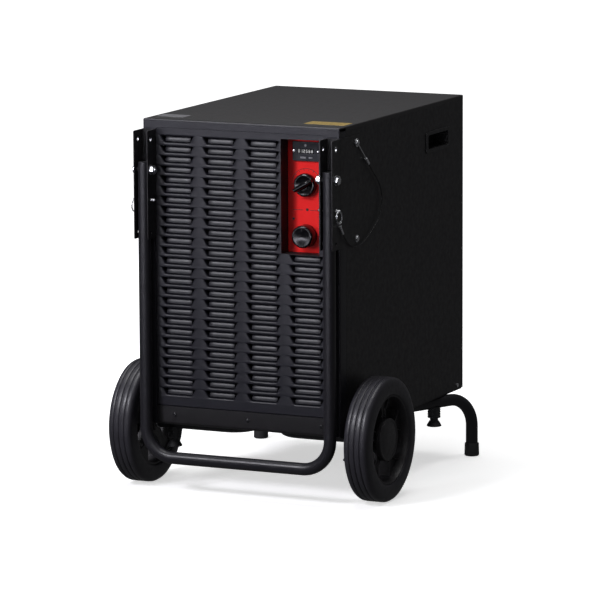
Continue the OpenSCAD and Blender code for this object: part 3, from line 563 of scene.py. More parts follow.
def louvre_cell(x, z, x0, x1, z1):
    """One pressed louvre in its rectangle of panel, from x0 to x1 and from z - 3.4 to z1."""
    y = PANEL_LO[1]
    lo, hi = z - 3.4, z1
    loops = [[(x + p.x, y, z + p.y) for p in trapezoid(2.6, 1.0)],
             [(x + p.x, y + 0.35, z + p.y) for p in trapezoid(1.5, 0.5)],
             [(x + p.x, y + 1.2, z + p.y) for p in trapezoid(0.6, 0.1)],
             [(x + p.x, y + 2.8, z + p.y) for p in trapezoid(0.0)],
             [(x + p.x, y + 7.5, z + p.y) for p in trapezoid(-0.5)]]
    n = len(loops[0])
    edge = []
    for px, _, pz in loops[0]:
        dx, dz = px - x, pz - z - LOUVRE_H / 2
        tx = ((x1 - x) if dx > 0 else (x0 - x)) / dx if abs(dx) > 1e-6 else 1e9
        tz = ((hi - z - LOUVRE_H / 2) if dz > 0 else (lo - z - LOUVRE_H / 2)) / dz if abs(dz) > 1e-6 else 1e9
        t = min(tx, tz)
        edge.append((x + dx * t, y, z + LOUVRE_H / 2 + dz * t))
    verts = edge + [p for loop in loops for p in loop]
    faces = []
    for ring in range(len(loops)):
        for i in range(n):
            j = (i + 1) % n
            a, b = ring * n, ring * n + n
            faces.append([a + i, a + j, b + j, b + i])
    # corner triangles of the rectangle
    for cx, cz in ((x0, lo), (x1, lo), (x1, hi), (x0, hi)):
        gaps = [(abs(edge[i][0] - cx) + abs(edge[i][2] - cz) + abs(edge[(i + 1) % n][0] - cx)
                 + abs(edge[(i + 1) % n][2] - cz), i) for i in range(n)
                if abs(edge[i][0] - edge[(i + 1) % n][0]) > 1e-6
                and abs(edge[i][2] - edge[(i + 1) % n][2]) > 1e-6]
        if gaps:
            i = min(gaps)[1]
            verts.append((cx, y, cz))
            faces.append([i, len(verts) - 1, (i + 1) % n])
    # the blade, leaning back and slightly rounded
    base = len(verts)
    across, up = 10, 8
    half = LOUVRE_FOOT_HALF - 0.6
    for i in range(up + 1):
        t = i / up
        for k in range(across + 1):
            s = -1 + 2 * k / across
            end = max(0, abs(s) - 0.86) / 0.14
            verts.append((x + s * (half + 0.5 * t), y + BLADE_IN + BLADE_LEAN * t - 0.9 * sin(pi * t)
                          + 1.6 * end * end, z + BLADE_FOOT + (LOUVRE_H - BLADE_FOOT - 0.8) * t))
    for i in range(up):
        for k in range(across):
            a = base + i * (across + 1) + k
            faces.append([a, a + 1, a + across + 2, a + across + 1])
    return verts, faces


def front_panel():
    y = PANEL_LO[1]
    x_lo, x_hi = PANEL_LO[0], PANEL_HI[0]
    z_lo, z_hi = PANEL_LO[2], PANEL_HI[2]
    rx0, rx1 = PLATE_LO[0] - 0.1, PLATE_HI[0] + 0.1
    rz0, rz1 = PLATE_LO[2] - 0.1, PLATE_HI[2] + 0.1
    cells = []
    row_lo = LOUVRE_Z0 - 3.4
    row_hi = row_lo + ROWS * LOUVRE_PITCH
    for x in COLUMN_X:
        for k in range(ROWS):
            z = LOUVRE_Z0 + LOUVRE_PITCH * k
            cells.append(louvre_cell(x, z, x - 47, x + (39.2 if x > 0 else 47), z - 3.4 + LOUVRE_PITCH))
    for k in range(SHORT_ROWS):
        z = LOUVRE_Z0 + LOUVRE_PITCH * k
        top = min(rz0, z - 3.4 + LOUVRE_PITCH)
        cells.append(louvre_cell(SHORT_X, z, COLUMN_X[2] + 39.2, x_hi, top))

    def flat(x0, z0, x1, z1):
        return [(x0, y, z0), (x1, y, z0), (x1, y, z1), (x0, y, z1)], [[0, 1, 2, 3]]

    left = COLUMN_X[0] - 47
    fill = COLUMN_X[2] + 39.2
    cells.append(flat(x_lo, z_lo + 3, left, z_hi - 12))
    cells.append(flat(left, z_lo + 3, x_hi, row_lo))
    cells.append(flat(fill, rz0, rx0, rz1))
    cells.append(flat(rx1, rz0, x_hi, rz1))
    cells.append(flat(left, row_hi, fill, z_hi - 12))
    low = max(rz1, z_hi - 12)
    top = [(x_lo, z_hi - 12), (fill, z_hi - 12), (fill, low), (rx1, low), (rx1, z_hi - 12), (x_hi, z_hi - 12)]
    top += arc(x_hi - 12, z_hi - 12, 12, 0, 90) + arc(x_lo + 12, z_hi - 12, 12, 90, 180)
    cells.append(([(a, y, b) for a, b in top], [list(range(len(top)))]))
    # rolled bottom edge and the return behind it
    roll = [(y, z_lo + 3)] + arc(y + 2.4, z_lo + 2.6, 2.4, 180, 290, 8)
    n = len(roll)
    cells.append(([(x, a, b) for x in (x_lo, x_hi) for a, b in roll],
                  [[i, i + 1, n + i + 1, n + i] for i in range(n - 1)]))
    v, f = merged(*cells)
    panel = piece("louvre_panel", v, f, BLACK_PAINT, slot="black_paint", replaces=("front_panel",), angle=50)
    weld = panel.modifiers.new("weld", "WELD")
    weld.merge_threshold = 0.00002
    return panel


# ---- controls ----
def controls():
    x0, x1 = PLATE_LO[0] - 0.1, PLATE_HI[0] + 0.1
    z0, z1 = PLATE_LO[2] - 0.1, PLATE_HI[2] + 0.1
    y0, y1 = PANEL_LO[1], PLATE_LO[1] + 3.5
    t = 1.5
    walls = merged(box((x0 - t, y0 + 0.2, z0 - t), (x0, y1, z1 + t)), box((x1, y0 + 0.2, z0 - t),
                                                                          (x1 + t, y1, z1 + t)),
                   box((x0, y0 + 0.2, z0 - t), (x1, y1, z0)), box((x0, y0 + 0.2, z1), (x1, y1, z1 + t)),
                   box((x0, y1 - 1.2, z0), (x1, y1, z1)))
    # Recess walls in the darker paint: painted shade inside the control recess.
    piece("recess_walls", *walls, RECESS_SHADE_PAINT, slot="black_paint", replaces=("control_box",))
    plate("red_plate", rounded(x0 + 0.2, z0 + 0.2, x1 - 0.2, z1 - 0.2, 0.6, 2), [], "y", PLATE_LO[1],
          PLATE_HI[1],
          RED_PAINT, slot="red_plate", replaces=("control_plate",), edge=0.2)
    face = PLATE_LO[1]
    # marks printed round the upper knob, a rule and a spot under it
    marks = []
    for a in range(-20, 201, 20):
        c, s = cos(radians(a)), sin(radians(a))
        w = 0.9
        r0, r1 = KNOB_R + 5, KNOB_R + (8.6 if a % 40 == 20 else 7.4)
        marks.append(([(KNOB_X + r0 * c - w * s / 2, face - 0.12, KNOB1_Z + r0 * s + w * c / 2),
                       (KNOB_X + r0 * c + w * s / 2, face - 0.12, KNOB1_Z + r0 * s - w * c / 2),
                       (KNOB_X + r1 * c + w * s / 2, face - 0.12, KNOB1_Z + r1 * s - w * c / 2),
                       (KNOB_X + r1 * c - w * s / 2, face - 0.12, KNOB1_Z + r1 * s + w * c / 2)],
                      [[0, 1, 2, 3]]))
    outer = arc(KNOB_X, KNOB1_Z, KNOB_R + 9.6, 20, 160, 20)
    inner = arc(KNOB_X, KNOB1_Z, KNOB_R + 8.8, 20, 160, 20)
    n = len(outer)
    marks.append(([(a, face - 0.12, b) for a, b in outer + inner],
                  [[i, i + 1, n + i + 1, n + i] for i in range(n - 1)]))
    rule_z = (KNOB1_Z + KNOB2_Z) / 2
    marks.append(box((KNOB_X - 30, face - 0.14, rule_z - 0.5), (KNOB_X - 8, face, rule_z + 0.5)))
    marks.append(box((KNOB_X + 8, face - 0.14, rule_z - 0.5), (KNOB_X + 30, face, rule_z + 0.5)))
    marks.append(lathe([(0, -0.5), (2.6, -0.5), (3.0, 0)], "y", (KNOB_X + 1.5, face, rule_z + 1), 24))
    marks.append(lathe([(0, -0.9), (2.2, -0.9), (2.6, 0)], "y", (PLATE_LO[0] + 12, face, BOTTOM + 426), 24))
    piece("plate_print", *merged(*marks), PRINT, slot="black_plastic")
    meter()
    knobs()


SEGMENTS = {"0": "abcdef", "1": "bc", "2": "abged", "3": "abgcd", "4": "fgbc", "5": "afgcd", "6": "afgedc",
            "7": "abc",
            "8": "abcdefg", "9": "abcdfg"}


def digit(ch, x, z, w, h, y):
    """A counter wheel figure made of bars."""
    t = 1.0
    bars = {"a": (0, h - t, w, h), "d": (0, 0, w, t), "g": (0, (h - t) / 2, w, (h + t) / 2),
            "f": (0, h / 2, t, h), "b": (w - t, h / 2, w, h), "e": (0, 0, t, h / 2),
            "c": (w - t, 0, w, h / 2)}
    return merged(*[box((x + bars[s][0], y, z + bars[s][1]), (x + bars[s][2], y + 0.3, z + bars[s][3]))
                    for s in SEGMENTS[ch]])


def meter():
    x0, x1 = METER_LO[0], METER_HI[0]
    z0, z1 = METER_LO[2], METER_HI[2]
    y = METER_LO[1]
    mx, mz = (x0 + x1) / 2, (z0 + z1) / 2
    plate("meter_bezel", rounded(x0, z0, x1, z1, 3), [rounded(mx - 19, mz - 4.6, mx + 17, mz + 5.6, 0.8, 3)],
          "y", y,
          y + 4, BEZEL, slot="meter", replaces=("hour_meter",), edge=0.6)
    piece("meter_raised", *merged(box((mx - 12, y - 0.3, mz - 14), (mx - 1, y + 0.5, mz - 10.6)),
                                  box((mx + 6, y - 0.3, mz - 13.6), (mx + 14, y + 0.5, mz - 11)),
                                  lathe([(0, -0.3), (2.6, -0.3), (2.6, 0.5)], "y", (mx - 1, y, mz + 12), 20)),
          SILVER, slot="meter")
    piece("meter_window", *box((mx - 19.5, y + 1.2, mz - 5), (mx + 17.5, y + 3.6, mz + 6)), WINDOW,
          slot="meter")
    figures = [digit(c, mx - 17.2 + 5.6 * i, mz - 2.8, 3.4, 6.4, y + 0.85) for i, c in enumerate("012580")]
    piece("meter_digits", *merged(*figures), DIGIT, slot="white_plastic")
    head = [(0, -2.0), (1.6, -1.95), (2.7, -1.3), (3.0, -0.4), (3.0, 0)]
    screws = merged(*[lathe(head, "y", (x, y, mz), 20) for x in (x0 + 3.3, x1 - 3.5)])
    piece("meter_screws", *screws, ZINC, slot="zinc", replaces=("plate_screws",))


def knobs():
    y = PLATE_LO[1] - 1
    # upper knob: a skirted disc with a bar grip across it
    skirt = lathe([(0, 0), (KNOB_R - 1, 0), (KNOB_R, -1), (KNOB_R, -9.5), (KNOB_R - 1.2, -11.2),
                   (KNOB_R - 3.5, -12),
                   (KNOB_R - 5, -11.6), (KNOB_R - 8, -10.2), (6, -9.4), (0, -9.4)], "y", (KNOB_X, y, KNOB1_Z),
                  64)
    rows = []
    length = 21.5
    n = 14
    for k in range(n + 1):
        s = -length + 2 * length * k / n
        nose = sqrt(max(0.0, 1 - (s / (length + 1.0)) ** 2))
        wide = 4.6 * (0.6 + 0.4 * nose) if s < 0 else 4.6 * (0.4 + 0.6 * nose)
        tall = 22.0 if s < 12 else 22.0 - (s - 12) * 0.5
        rows.append([(s, -wide - 2.2, -9.4), (s, -wide - 0.8, -13), (s, -wide, -tall + 1.6),
                     (s, -wide * 0.6, -tall),
                     (s, wide * 0.6, -tall), (s, wide, -tall + 1.6), (s, wide + 0.8, -13),
                     (s, wide + 2.2, -9.4)])
    turn = radians(30)
    verts = []
    for row in rows:
        for s, w, h in row:
            verts.append((KNOB_X + s * cos(turn) - w * sin(turn), y + h,
                          KNOB1_Z + s * sin(turn) + w * cos(turn)))
    m = len(rows[0])
    faces = [[k * m + i, (k + 1) * m + i, (k + 1) * m + i + 1,
              k * m + i + 1] for k in range(n) for i in range(m - 1)]
    faces += [list(range(m)), [n * m + i for i in reversed(range(m))]]
    spindle = lathe([(3, 0), (3, 22)], "y", (KNOB_X, y, KNOB1_Z), 20)
    piece("knob_upper", *merged(skirt, (verts, faces), spindle), KNOB, "humidistat_knob", "knob_plastic",
          ("knob_humidistat",), angle=50)
    # lower knob: a plain drum with a domed face
    drum = lathe([(0, 0), (KNOB_R - 1, 0), (KNOB_R, -1), (KNOB_R - 0.8, -22), (KNOB_R - 1.6, -23.8),
                  (KNOB_R - 3.2, -24.6),
                  (KNOB_R - 5, -24.6), (12, -23.6), (0, -23.2)], "y", (KNOB_X, y + 1, KNOB2_Z), 64)
    mark = box((KNOB_X - 0.6, y - 23.8, KNOB2_Z + 11), (KNOB_X + 0.6, y - 22.5, KNOB2_Z + 18))
    spindle = lathe([(3, 0), (3, 22)], "y", (KNOB_X, y, KNOB2_Z), 20)
    piece("knob_lower", *merged(drum, mark, spindle), KNOB, "mode_knob", "knob_plastic", ("knob_mode",),
          angle=50)


# ---- side grips ----
def grips():
    y0, y1 = GRIP_LO[1], GRIP_HI[1]
    z0, z1 = GRIP_LO[2], GRIP_HI[2]
    inner = rounded(y0 + 11, z0 + 7.5, y1 - 11, z1 - 7.5, 4)
    for s, word in ((1, "right"), (-1, "left")):
        lo, hi = sorted((s * HALF, s * (HALF + 2)))
        plate("grip_rim_" + word, rounded(y0, z0, y1, z1, 8), [inner], "x", lo, hi, PLASTIC,
              slot="black_plastic",
              replaces=("grip_" + word,), edge=0.9)
    n = len(inner)
    verts = [(x, a, b) for x in (HALF + 1.2, HALF - 32) for a, b in inner]
    faces = [[i, (i + 1) % n, n + (i + 1) % n, n + i] for i in range(n)] + [[n + i for i in range(n)]]
    # Grip pockets in the darker paint: painted shade inside the grip holes.
    both_sides("grip_pocket", (verts, faces), RECESS_SHADE_PAINT, slot="black_plastic")


# ---- brackets and their hardware ----
def brackets():
    t = 2
    y_front = BRACKET_LO[1]
    y_back = BRACKET_HI[1]
    z0, z1 = BRACKET_LO[2], BRACKET_HI[2]
    x_in = BRACKET_LO[0]
    x_out = BRACKET_HI[0] - t
    outer = rounded(y_front, z0, y_back, z1, 3, 4)
    holes = [circle(HANDLE_Y, PIVOT_Z, 5.1), circle(HANDLE_Y, PIN_Z, 3.1), circle(HANDLE_Y, UPPER_Z, 5.05),
             circle(HANDLE_Y, LOWER_Z, 3.2)]
    inner = rounded(y_front + 4, z0, FRONT, z1, 3, 4)
    web = [(x_in, z0), (x_out + t, z0), (x_out + t, z1), (x_in, z1)]
    for s, word in ((1, "right"), (-1, "left")):
        o = sorted((s * x_out, s * (x_out + t)))
        i = sorted((s * x_in, s * (x_in + t)))
        plate("bracket_outer_" + word, outer, holes, "x", *o, SIDE_PAINT, slot="black_paint",
              replaces=("bracket_" + word,), edge=0.35)
        plate("bracket_inner_" + word, inner, holes, "x", *i, SIDE_PAINT, slot="black_paint", edge=0.35)
        plate("bracket_web_" + word, [(s * a, b) for a, b in (web if s > 0 else web[::-1])], [], "y",
              FRONT - t,
              FRONT, SIDE_PAINT, slot="black_paint", edge=0.2)
    face = x_out + t
    parts = []
    for k, z in enumerate(SCREW_Z):
        h = 2.2 if k else 1.2
        parts.append(lathe([(3.1, 0), (7.3, 0), (7.5, 0.3), (7.5, 0.9), (7.2, 1.2), (3.1, 1.2)], "x",
                           (face, SCREW_Y, z), 32))
        parts.append(lathe([(5.5, h), (5.5, h + 0.6), (4.9, h + 2.2), (3.4, h + 3.3), (1.6, h + 3.7),
                            (1.4, h + 2.4),
                            (0, h + 2.2)], "x", (face, SCREW_Y, z), 32))
        parts.append(lathe([(3, -10), (3, 3)], "x", (face, SCREW_Y, z), 16))
    both_sides("bracket_screw", merged(*parts), ZINC, slot="zinc", replaces=((), ("bracket_screws",)))
    bush = [(3.2, -t), (5.0, -t), (5.0, 0), (6.0, 0), (6.0, 0.25), (3.5, 0.25), (3.2, 0)]
    bushes = merged(lathe(bush, "x", (face, HANDLE_Y, UPPER_Z), 32, True),
                    lathe([(3.2, 0), (5.0, 0), (5.0, t), (3.2, t)], "x", (x_in, HANDLE_Y, UPPER_Z), 32, True))
    both_sides("bush", bushes, ZINC, slot="white_plastic", replaces=((), ("pin_bushes",)))
    # pivot bolt, its washers and the nut inside
    washer = lathe([(5.1, 0), (9.7, 0), (10, 0.3), (10, 1.2), (9.7, 1.5), (5.1, 1.5)], "x",
                   (face, HANDLE_Y, PIVOT_Z), 40)
    head = hexagon(9.5, face + 1.5, face + 7.5, HANDLE_Y, PIVOT_Z, 12)
    shank = lathe([(5, 0), (5, face - x_in + 10), (0, face - x_in + 10)], "x", (x_in - 12, HANDLE_Y, PIVOT_Z),
                  28)
    tip = lathe([(0, 0), (4.2, 0), (5, 0.8)], "x", (x_in - 12, HANDLE_Y, PIVOT_Z), 28)
    both_sides("pivot_bolt", merged(washer, head, shank, tip), ZINC, slot="zinc",
               replaces=((), ("pivot_bolts",)))
    washer = lathe([(5.1, 0), (9.7, 0), (10, -0.3), (10, -1.2), (9.7, -1.5), (5.1, -1.5)], "x",
                   (x_in, HANDLE_Y, PIVOT_Z), 40)
    nut = hexagon(9.5, x_in - 9.5, x_in - 1.5, HANDLE_Y, PIVOT_Z, 12)
    both_sides("pivot_nut", merged(washer, nut), ZINC, slot="zinc", replaces=((), ("pivot_nuts",)))


def hexagon(r, x0, x1, y, z, lead):
    """Hexagonal head or nut along X with chamfered corners."""
    rings = []
    for x, k in ((x0, 0.9), (x0 + 0.9, 1.0), (x1 - 0.9, 1.0), (x1, 0.9)):
        rings.append([(x, y + r * k * cos(radians(60 * i + lead)), z + r * k * sin(radians(60 * i + lead)))
                      for i in range(6)])
    verts = [p for ring in rings for p in ring]
    faces = [[a * 6 + i, a * 6 + (i + 1) % 6, a * 6 + 6 + (i + 1) % 6,
              a * 6 + 6 + i] for a in range(3) for i in range(6)]
    return verts, faces + [list(reversed(range(6))), [18 + i for i in range(6)]]


def ring_at(centre, r, wire, tilt=0.0, n=40):
    """A closed wire ring in the plane across X, turned about Z by tilt."""
    c = Vector(centre)
    turn = Matrix.Rotation(radians(tilt), 3, "Z")
    line = [c + turn @ Vector((0, r * cos(2 * pi * k / n), r * sin(2 * pi * k / n)))
            for k in range(n)]
    return sweep(line, wire, 10, closed=True)


def lock_pins():
    face = BRACKET_HI[0]
    x_in = BRACKET_LO[0]
    pin = lathe([(0, 0), (1.6, 0), (3, 2), (3, face - x_in + 17), (2.4, face - x_in + 18),
                 (0, face - x_in + 18)], "x",
                (x_in - 9, HANDLE_Y, PIN_Z), 28)
    collar = lathe([(3, 0.3), (4.8, 0.3), (5, 0.6), (5, 2.0), (4.8, 2.3), (3, 2.3)], "x",
                   (face, HANDLE_Y, PIN_Z), 32)
    both_sides("pin", merged(pin, collar), ZINC, ("lock_pin_left", "lock_pin_right"), "zinc",
               (("lock_pin_left",), ("lock_pin_right",)))
    ring = ring_at((face + 6, HANDLE_Y, PIN_Z - 12.3), 12.5, 0.75)
    ring2 = ring_at((face + 7.3, HANDLE_Y, PIN_Z - 12.3), 12.5, 0.75)
    loop = ring_at((face + 4.6, -314.8, 569.4), 4.6, 0.9, tilt=25, n=24)
    crimp = sweep([(221, -311.2, 563.6), (221, -309.5, 561.5), (221, -298.5, 547.8), (221, -297.2, 546.2)],
                  2.3, 16)
    rings = merged(ring, ring2, loop, crimp)
    both_sides("pin_loop", rings, ZINC, ("lock_pin_left", "lock_pin_right"), "zinc",
               (("pin_ring_left",), ("pin_ring_right",)))
    eye = lathe([(3.1, 1.2), (8.3, 1.2), (8.5, 1.45), (8.5, 1.95), (8.3, 2.2), (3.1, 2.2)], "x",
                (face, SCREW_Y, SCREW_Z[1]), 32, True)
    sleeve = sweep([(220, -172, 670.3), (220, -173.2, 671.4), (220, -184.4, 681.6), (220, -185.6, 682.7)],
                   2.9, 16)
    tail = sweep([(220, -185, 682.1), (219.6, -219.2, 712.8)], 1.2, 12)
    both_sides("lanyard_end", merged(eye, sleeve, tail), ZINC, slot="zinc", replaces=((), ("lanyard_eyes",)))


# ---- handle and legs ----
def handle():
    bend = 60
    top = HANDLE_TOP
    line = bent([(-HANDLE_X, HANDLE_Y, top), (-HANDLE_X, HANDLE_Y, BAR_Z), (HANDLE_X, HANDLE_Y, BAR_Z),
                 (HANDLE_X, HANDLE_Y, top)], bend, 20)
    piece("handle_bar", *sweep(line, TUBE_R, 36, caps=False), TUBE_PAINT, "handle", "tube_paint",
          ("handle_tube",))
    plug = lathe([(TUBE_R - 0.6, -9), (TUBE_R - 0.3, -2.4), (TUBE_R - 0.4, -0.8), (TUBE_R - 2.5, 0),
                  (0, 0.0)], "z",
                 (HANDLE_X, HANDLE_Y, top), 36)
    piece("handle_plug", *merged(plug, mirrored(plug)), PLASTIC, "handle", "black_plastic", ("handle_plugs",))


def legs():
    lean = radians(24.5)
    z = BOTTOM - 2.5 - TUBE_R
    foot_lo, foot_hi = corners("leg_ferrules")
    foot_x = foot_hi[0] - 15.5
    foot_y = (foot_lo[1] + foot_hi[1]) / 2
    corner_x = foot_x - (foot_y - AXLE_Y) * tan(lean)
    line = bent([(230, AXLE_Y, z), (corner_x, AXLE_Y, z), (foot_x, foot_y, z), (foot_x, foot_y, 4)],
                [42.5, 61.5], 18)
    both_sides("leg_bar", sweep(line, TUBE_R, 32), TUBE_PAINT, slot="tube_paint",
               replaces=(("leg_tube_left",), ("leg_tube_right",)))
    ferrule = lathe([(0, 0), (13.5, 0), (15.2, 1.6), (15.5, 3.2), (15.2, 14), (14.9, 25), (14.2, 27),
                     (12.6, 27)], "z",
                    (foot_x, foot_y, 0), 40)
    both_sides("ferrule", ferrule, RUBBER, slot="rubber", replaces=((), ("leg_ferrules",)))
    feet, bolts = [], []
    lo, hi = corners("stub_feet")
    stubs = ((196, AXLE_Y), (200, FRONT + 498.6))
    for x, y in stubs:
        profile = [(4.2, lo[2]), (14, lo[2]), (15.5, lo[2] + 1), (15.3, lo[2] + 2.4), (10.2, lo[2] + 11),
                   (8.5, 88), (8.5, 92.5),
                   (10, 93), (13.3, 94)]
        for k in range(4):
            profile += [(13.5, 95 + 5 * k), (13.5, 97.4 + 5 * k), (12.9, 98 + 5 * k), (12.9, 99.2 + 5 * k)]
        profile += [(13.4, hi[2]), (4.2, hi[2])]
        feet.append(lathe(profile, "z", (x, y, 0), 32))
        bolts.append(lathe([(0, 78), (4, 78), (4, BOTTOM + 10), (0, BOTTOM + 10)], "z", (x, y, 0), 20))
        nut = [(7.5 * cos(radians(60 * i)), 7.5 * sin(radians(60 * i))) for i in range(6)]
        bolts.append(extrude([(x + a, y + b) for a, b in nut], "z", BOTTOM, BOTTOM + 7))
    both_sides("stub_foot", merged(*feet), RUBBER, slot="rubber", replaces=((), ("stub_feet",)))
    both_sides("leg_bolt", merged(*bolts), ZINC, slot="zinc", replaces=((), ("leg_bolts",)))
    wheel_in = WHEEL_LO[0]
    axle = merged(lathe([(10.4, wheel_in - 4), (12.6, wheel_in - 3), (13, wheel_in - 2.6),
                         (13, wheel_in - 0.6), (8, wheel_in - 0.4)],
                        "x", (0, AXLE_Y, AXLE_Z), 32),
                  lathe([(8, wheel_in - 1), (8, WHEEL_HI[0] - 14), (12, WHEEL_HI[0] - 14),
                         (12, WHEEL_HI[0] - 12),
                         (0, WHEEL_HI[0] - 12)], "x", (0, AXLE_Y, AXLE_Z), 32))
    both_sides("axle", axle, ZINC, slot="zinc", replaces=((), ("axles",)))


# ---- wheels ----
def wheels():
    r = WHEEL_R
    w = WHEEL_HI[0] - WHEEL_LO[0]
    centre = (WHEEL_LO[0], AXLE_Y, AXLE_Z)
    profile = [(89.6, 4), (91, 1.4), (94, 0.4), (100, 0), (r - 14, 0.3), (r - 7, 1.6), (r - 2.6, 4.2),
               (r - 0.6, 7.6)]
    groove = [(0, 0), (-0.35, 1.0), (-1.9, 1.7), (-2.3, 2.5), (-1.9, 3.3), (-0.35, 4.0), (0, 5.0)]
    for g in (12.6, 24.1, 35.6):
        profile += [(r + a, g + b) for a, b in groove]
        profile += [(r + 0.0, g + 8)]
    profile += [(r - 0.5, w - 7.8), (r - 2.6, w - 4.4), (r - 7, w - 1.7), (r - 14, w - 0.4), (100, w),
                (94, w - 0.5),
                (91, w - 1.8), (89.6, w - 4.5)]
    both_sides("tyre", lathe(profile, "x", centre, 128, True), TYRE, ("wheel_left", "wheel_right"), "tyre",
               (("tyre_left",), ("tyre_right",)), angle=60)
    rim = lathe([(90, 4), (90, w - 4.2), (88.6, w - 3.2), (86.6, w - 3.6), (85.4, w - 6), (84, w - 18),
                 (84, 10), (86, 4)], "x",
                centre, 96, True)
    boss = lathe([(8.05, 0), (19, 0), (20, 1), (20, w - 15), (8.05, w - 15)], "x", centre, 48, True)
    spokes = spoke_disc(centre, 10, 36)
    both_sides("hub", merged(rim, boss, spokes), HUB, ("wheel_left", "wheel_right"), "hub_plastic",
               (("hub_left",), ("hub_right",)), angle=35)
    cap = lathe([(40, w - 17.7), (43, w - 17.7), (43, w - 8.6), (42.4, w - 7.2), (40.6, w - 6.6),
                 (38.8, w - 7.4), (37.8, w - 8.2),
                 (36, w - 8.0), (30, w - 6.0), (20, w - 4.6), (8, w - 4.05), (0, w - 4.0)], "x", centre, 96)
    both_sides("hub_cap", cap, HUB, ("wheel_left", "wheel_right"), "hub_plastic",
               (("hub_cap_left",), ("hub_cap_right",)), angle=50)


def spoke_disc(centre, h0, h1):
    """Five flared spokes with raised edges between the boss and the rim."""
    cx, cy, cz = centre
    parts = []
    n = 12
    for i in range(5):
        lead = radians(72 * i + 18)
        rows = []
        for k in range(n + 1):
            t = k / n
            rad = 18 + (86 - 18) * t
            half = 15 - 5.5 * sin(pi * min(1, t * 1.05)) + 13 * max(0, t - 0.55) ** 1.5 * 3.2
            rows.append((rad, half))
        verts, faces = [], []
        for rad, half in rows:
            for a, h in ((-half, h0), (-half, h1), (-half + 2.6, h1 + 0.6), (-half + 4.2, h1 - 3.2),
                         (half - 4.2, h1 - 3.2),
                         (half - 2.6, h1 + 0.6), (half, h1), (half, h0)):
                x = rad * cos(lead) - a * sin(lead)
                y = rad * sin(lead) + a * cos(lead)
                q = hypot(x, y)
                if q > 86:
                    x, y = x * 86 / q, y * 86 / q
                verts.append((cx + h, cy + x, cz + y))
        m = 8
        for k in range(n):
            for j in range(m):
                a, b = k * m + j, k * m + (j + 1) % m
                faces.append([a, b, b + m, a + m])
        parts.append((verts, faces))
    return merged(*parts)


# ---- small parts ----
def small_parts():
    heads = []
    head = [(0, -1.2), (2.4, -1.1), (3.7, -0.5), (4, 0.3), (4, 1.5)]
    for x in (-150.5, 11, 172.5):
        heads.append(lathe(head, "y", (x, FRONT + 0.5, BOTTOM + 18.5), 24))
    piece("lip_screws", *merged(*heads), ENAMEL, slot="zinc", replaces=("base_screws",))
    lo, hi = corners("cover_screws")
    y, z = (lo[1] + hi[1]) / 2, (lo[2] + hi[2]) / 2
    head = lathe([(4.5, 0), (4.4, 1.2), (2.8, 2.1), (0, 2.2)], "x", (HALF, y, z), 24)
    piece("cover_screw_heads", *merged(head, mirrored(head)), ZINC, slot="zinc", replaces=("cover_screws",))
    lo, hi = corners("top_labels")
    plate("label_gold", rounded(hi[0] - 88, lo[1], hi[0], hi[1], 2), [], "z", TOP - 0.3, TOP + 0.2, GOLD,
          slot="label",
          replaces=("top_labels",), edge=0.1)
    plate("label_silver", rounded(lo[0], lo[1], lo[0] + 60, lo[1] + 36, 2), [], "z", TOP - 0.3, TOP + 0.2,
          SILVER,
          slot="label", edge=0.1)


def rear():
    """Guard rings, tank front and gland at the back."""
    lo, hi = corners("fan_guard")
    y1 = hi[1]
    rings = [sweep([(r * cos(2 * pi * k / 72), y1 - 2.2, FAN_Z + r * sin(2 * pi * k / 72))
                    for k in range(72)], 1.5, 8, closed=True) for r in range(30, 140, 12)]
    spokes = []
    for a in range(0, 180, 60):
        c, s = cos(radians(a)), sin(radians(a))
        spokes.append(sweep([(-146 * c, y1 - 4, FAN_Z - 146 * s), (146 * c, y1 - 4, FAN_Z + 146 * s)], 1.7,
                            10))
    rim = lathe([(142, 0), (160, 0), (160, -1.4), (158.5, -2.4), (149, -3.0), (144, -5.4), (142, -5.4)], "y",
                (0, y1, FAN_Z), 96,
                True)
    badge = lathe([(0, 0), (24, -0.4), (26, -2.0), (26, -3.6), (0, -3.6)], "y", (0, y1, FAN_Z), 48)
    piece("guard", *merged(*rings, *spokes, rim, badge), TUBE_PAINT, slot="black_paint",
          replaces=("fan_guard",), angle=50)
    heads = [lathe([(0, 2.0), (2.4, 1.9), (3.8, 1.0), (4, 0)], "y",
                   (154 * cos(radians(a)), y1, FAN_Z + 154 * sin(radians(a))), 20) for a in (45, 135, 225,
                                                                                             315)]
    piece("guard_screws", *merged(*heads), ZINC, slot="zinc")
    lo, hi = corners("water_tank")
    body = box((lo[0], lo[1], lo[2]), (hi[0], REAR, hi[2]))
    mid = (lo[0] + hi[0]) / 2
    grip = bent([(mid - 47, REAR - 1, hi[2] - 45), (mid - 47, hi[1] - 8, hi[2] - 45),
                 (mid + 47, hi[1] - 8, hi[2] - 45),
                 (mid + 47, REAR - 1, hi[2] - 45)], 10, 8)
    piece("tank_body", *body, TANK_PLASTIC, "tank", "tank_plastic", ("water_tank",), bevel=5)
    piece("tank_handle", *sweep(grip, 7, 20), TANK_PLASTIC, "tank", "tank_plastic")
    strip = box((mid - 70, REAR - 0.5, lo[2] + 40), (mid + 70, REAR + 0.8, lo[2] + 44))
    strips = [([(x, y, z + d) for x, y, z in strip[0]], strip[1]) for d in (0, 30, 60, 90)]
    piece("tank_ribs", *merged(*strips), TANK_PLASTIC, "tank", "tank_plastic")
    lo, hi = corners("cable_gland")
    x, z = (lo[0] + hi[0]) / 2, (lo[2] + hi[2]) / 2
    gland = lathe([(4.5, -14), (10, -14), (10, 8), (11, 8.6), (11, 16), (9.5, 18), (4.5, 18)], "y",
                  (x, REAR, z), 40, True)
    nut = extrude([(x + 14 * cos(radians(60 * i)), z + 14 * sin(radians(60 * i))) for i in range(6)], "y",
                  REAR - 1.6, REAR + 4)
    piece("gland", *merged(gland, nut), PLASTIC, slot="black_plastic", replaces=("cable_gland",))


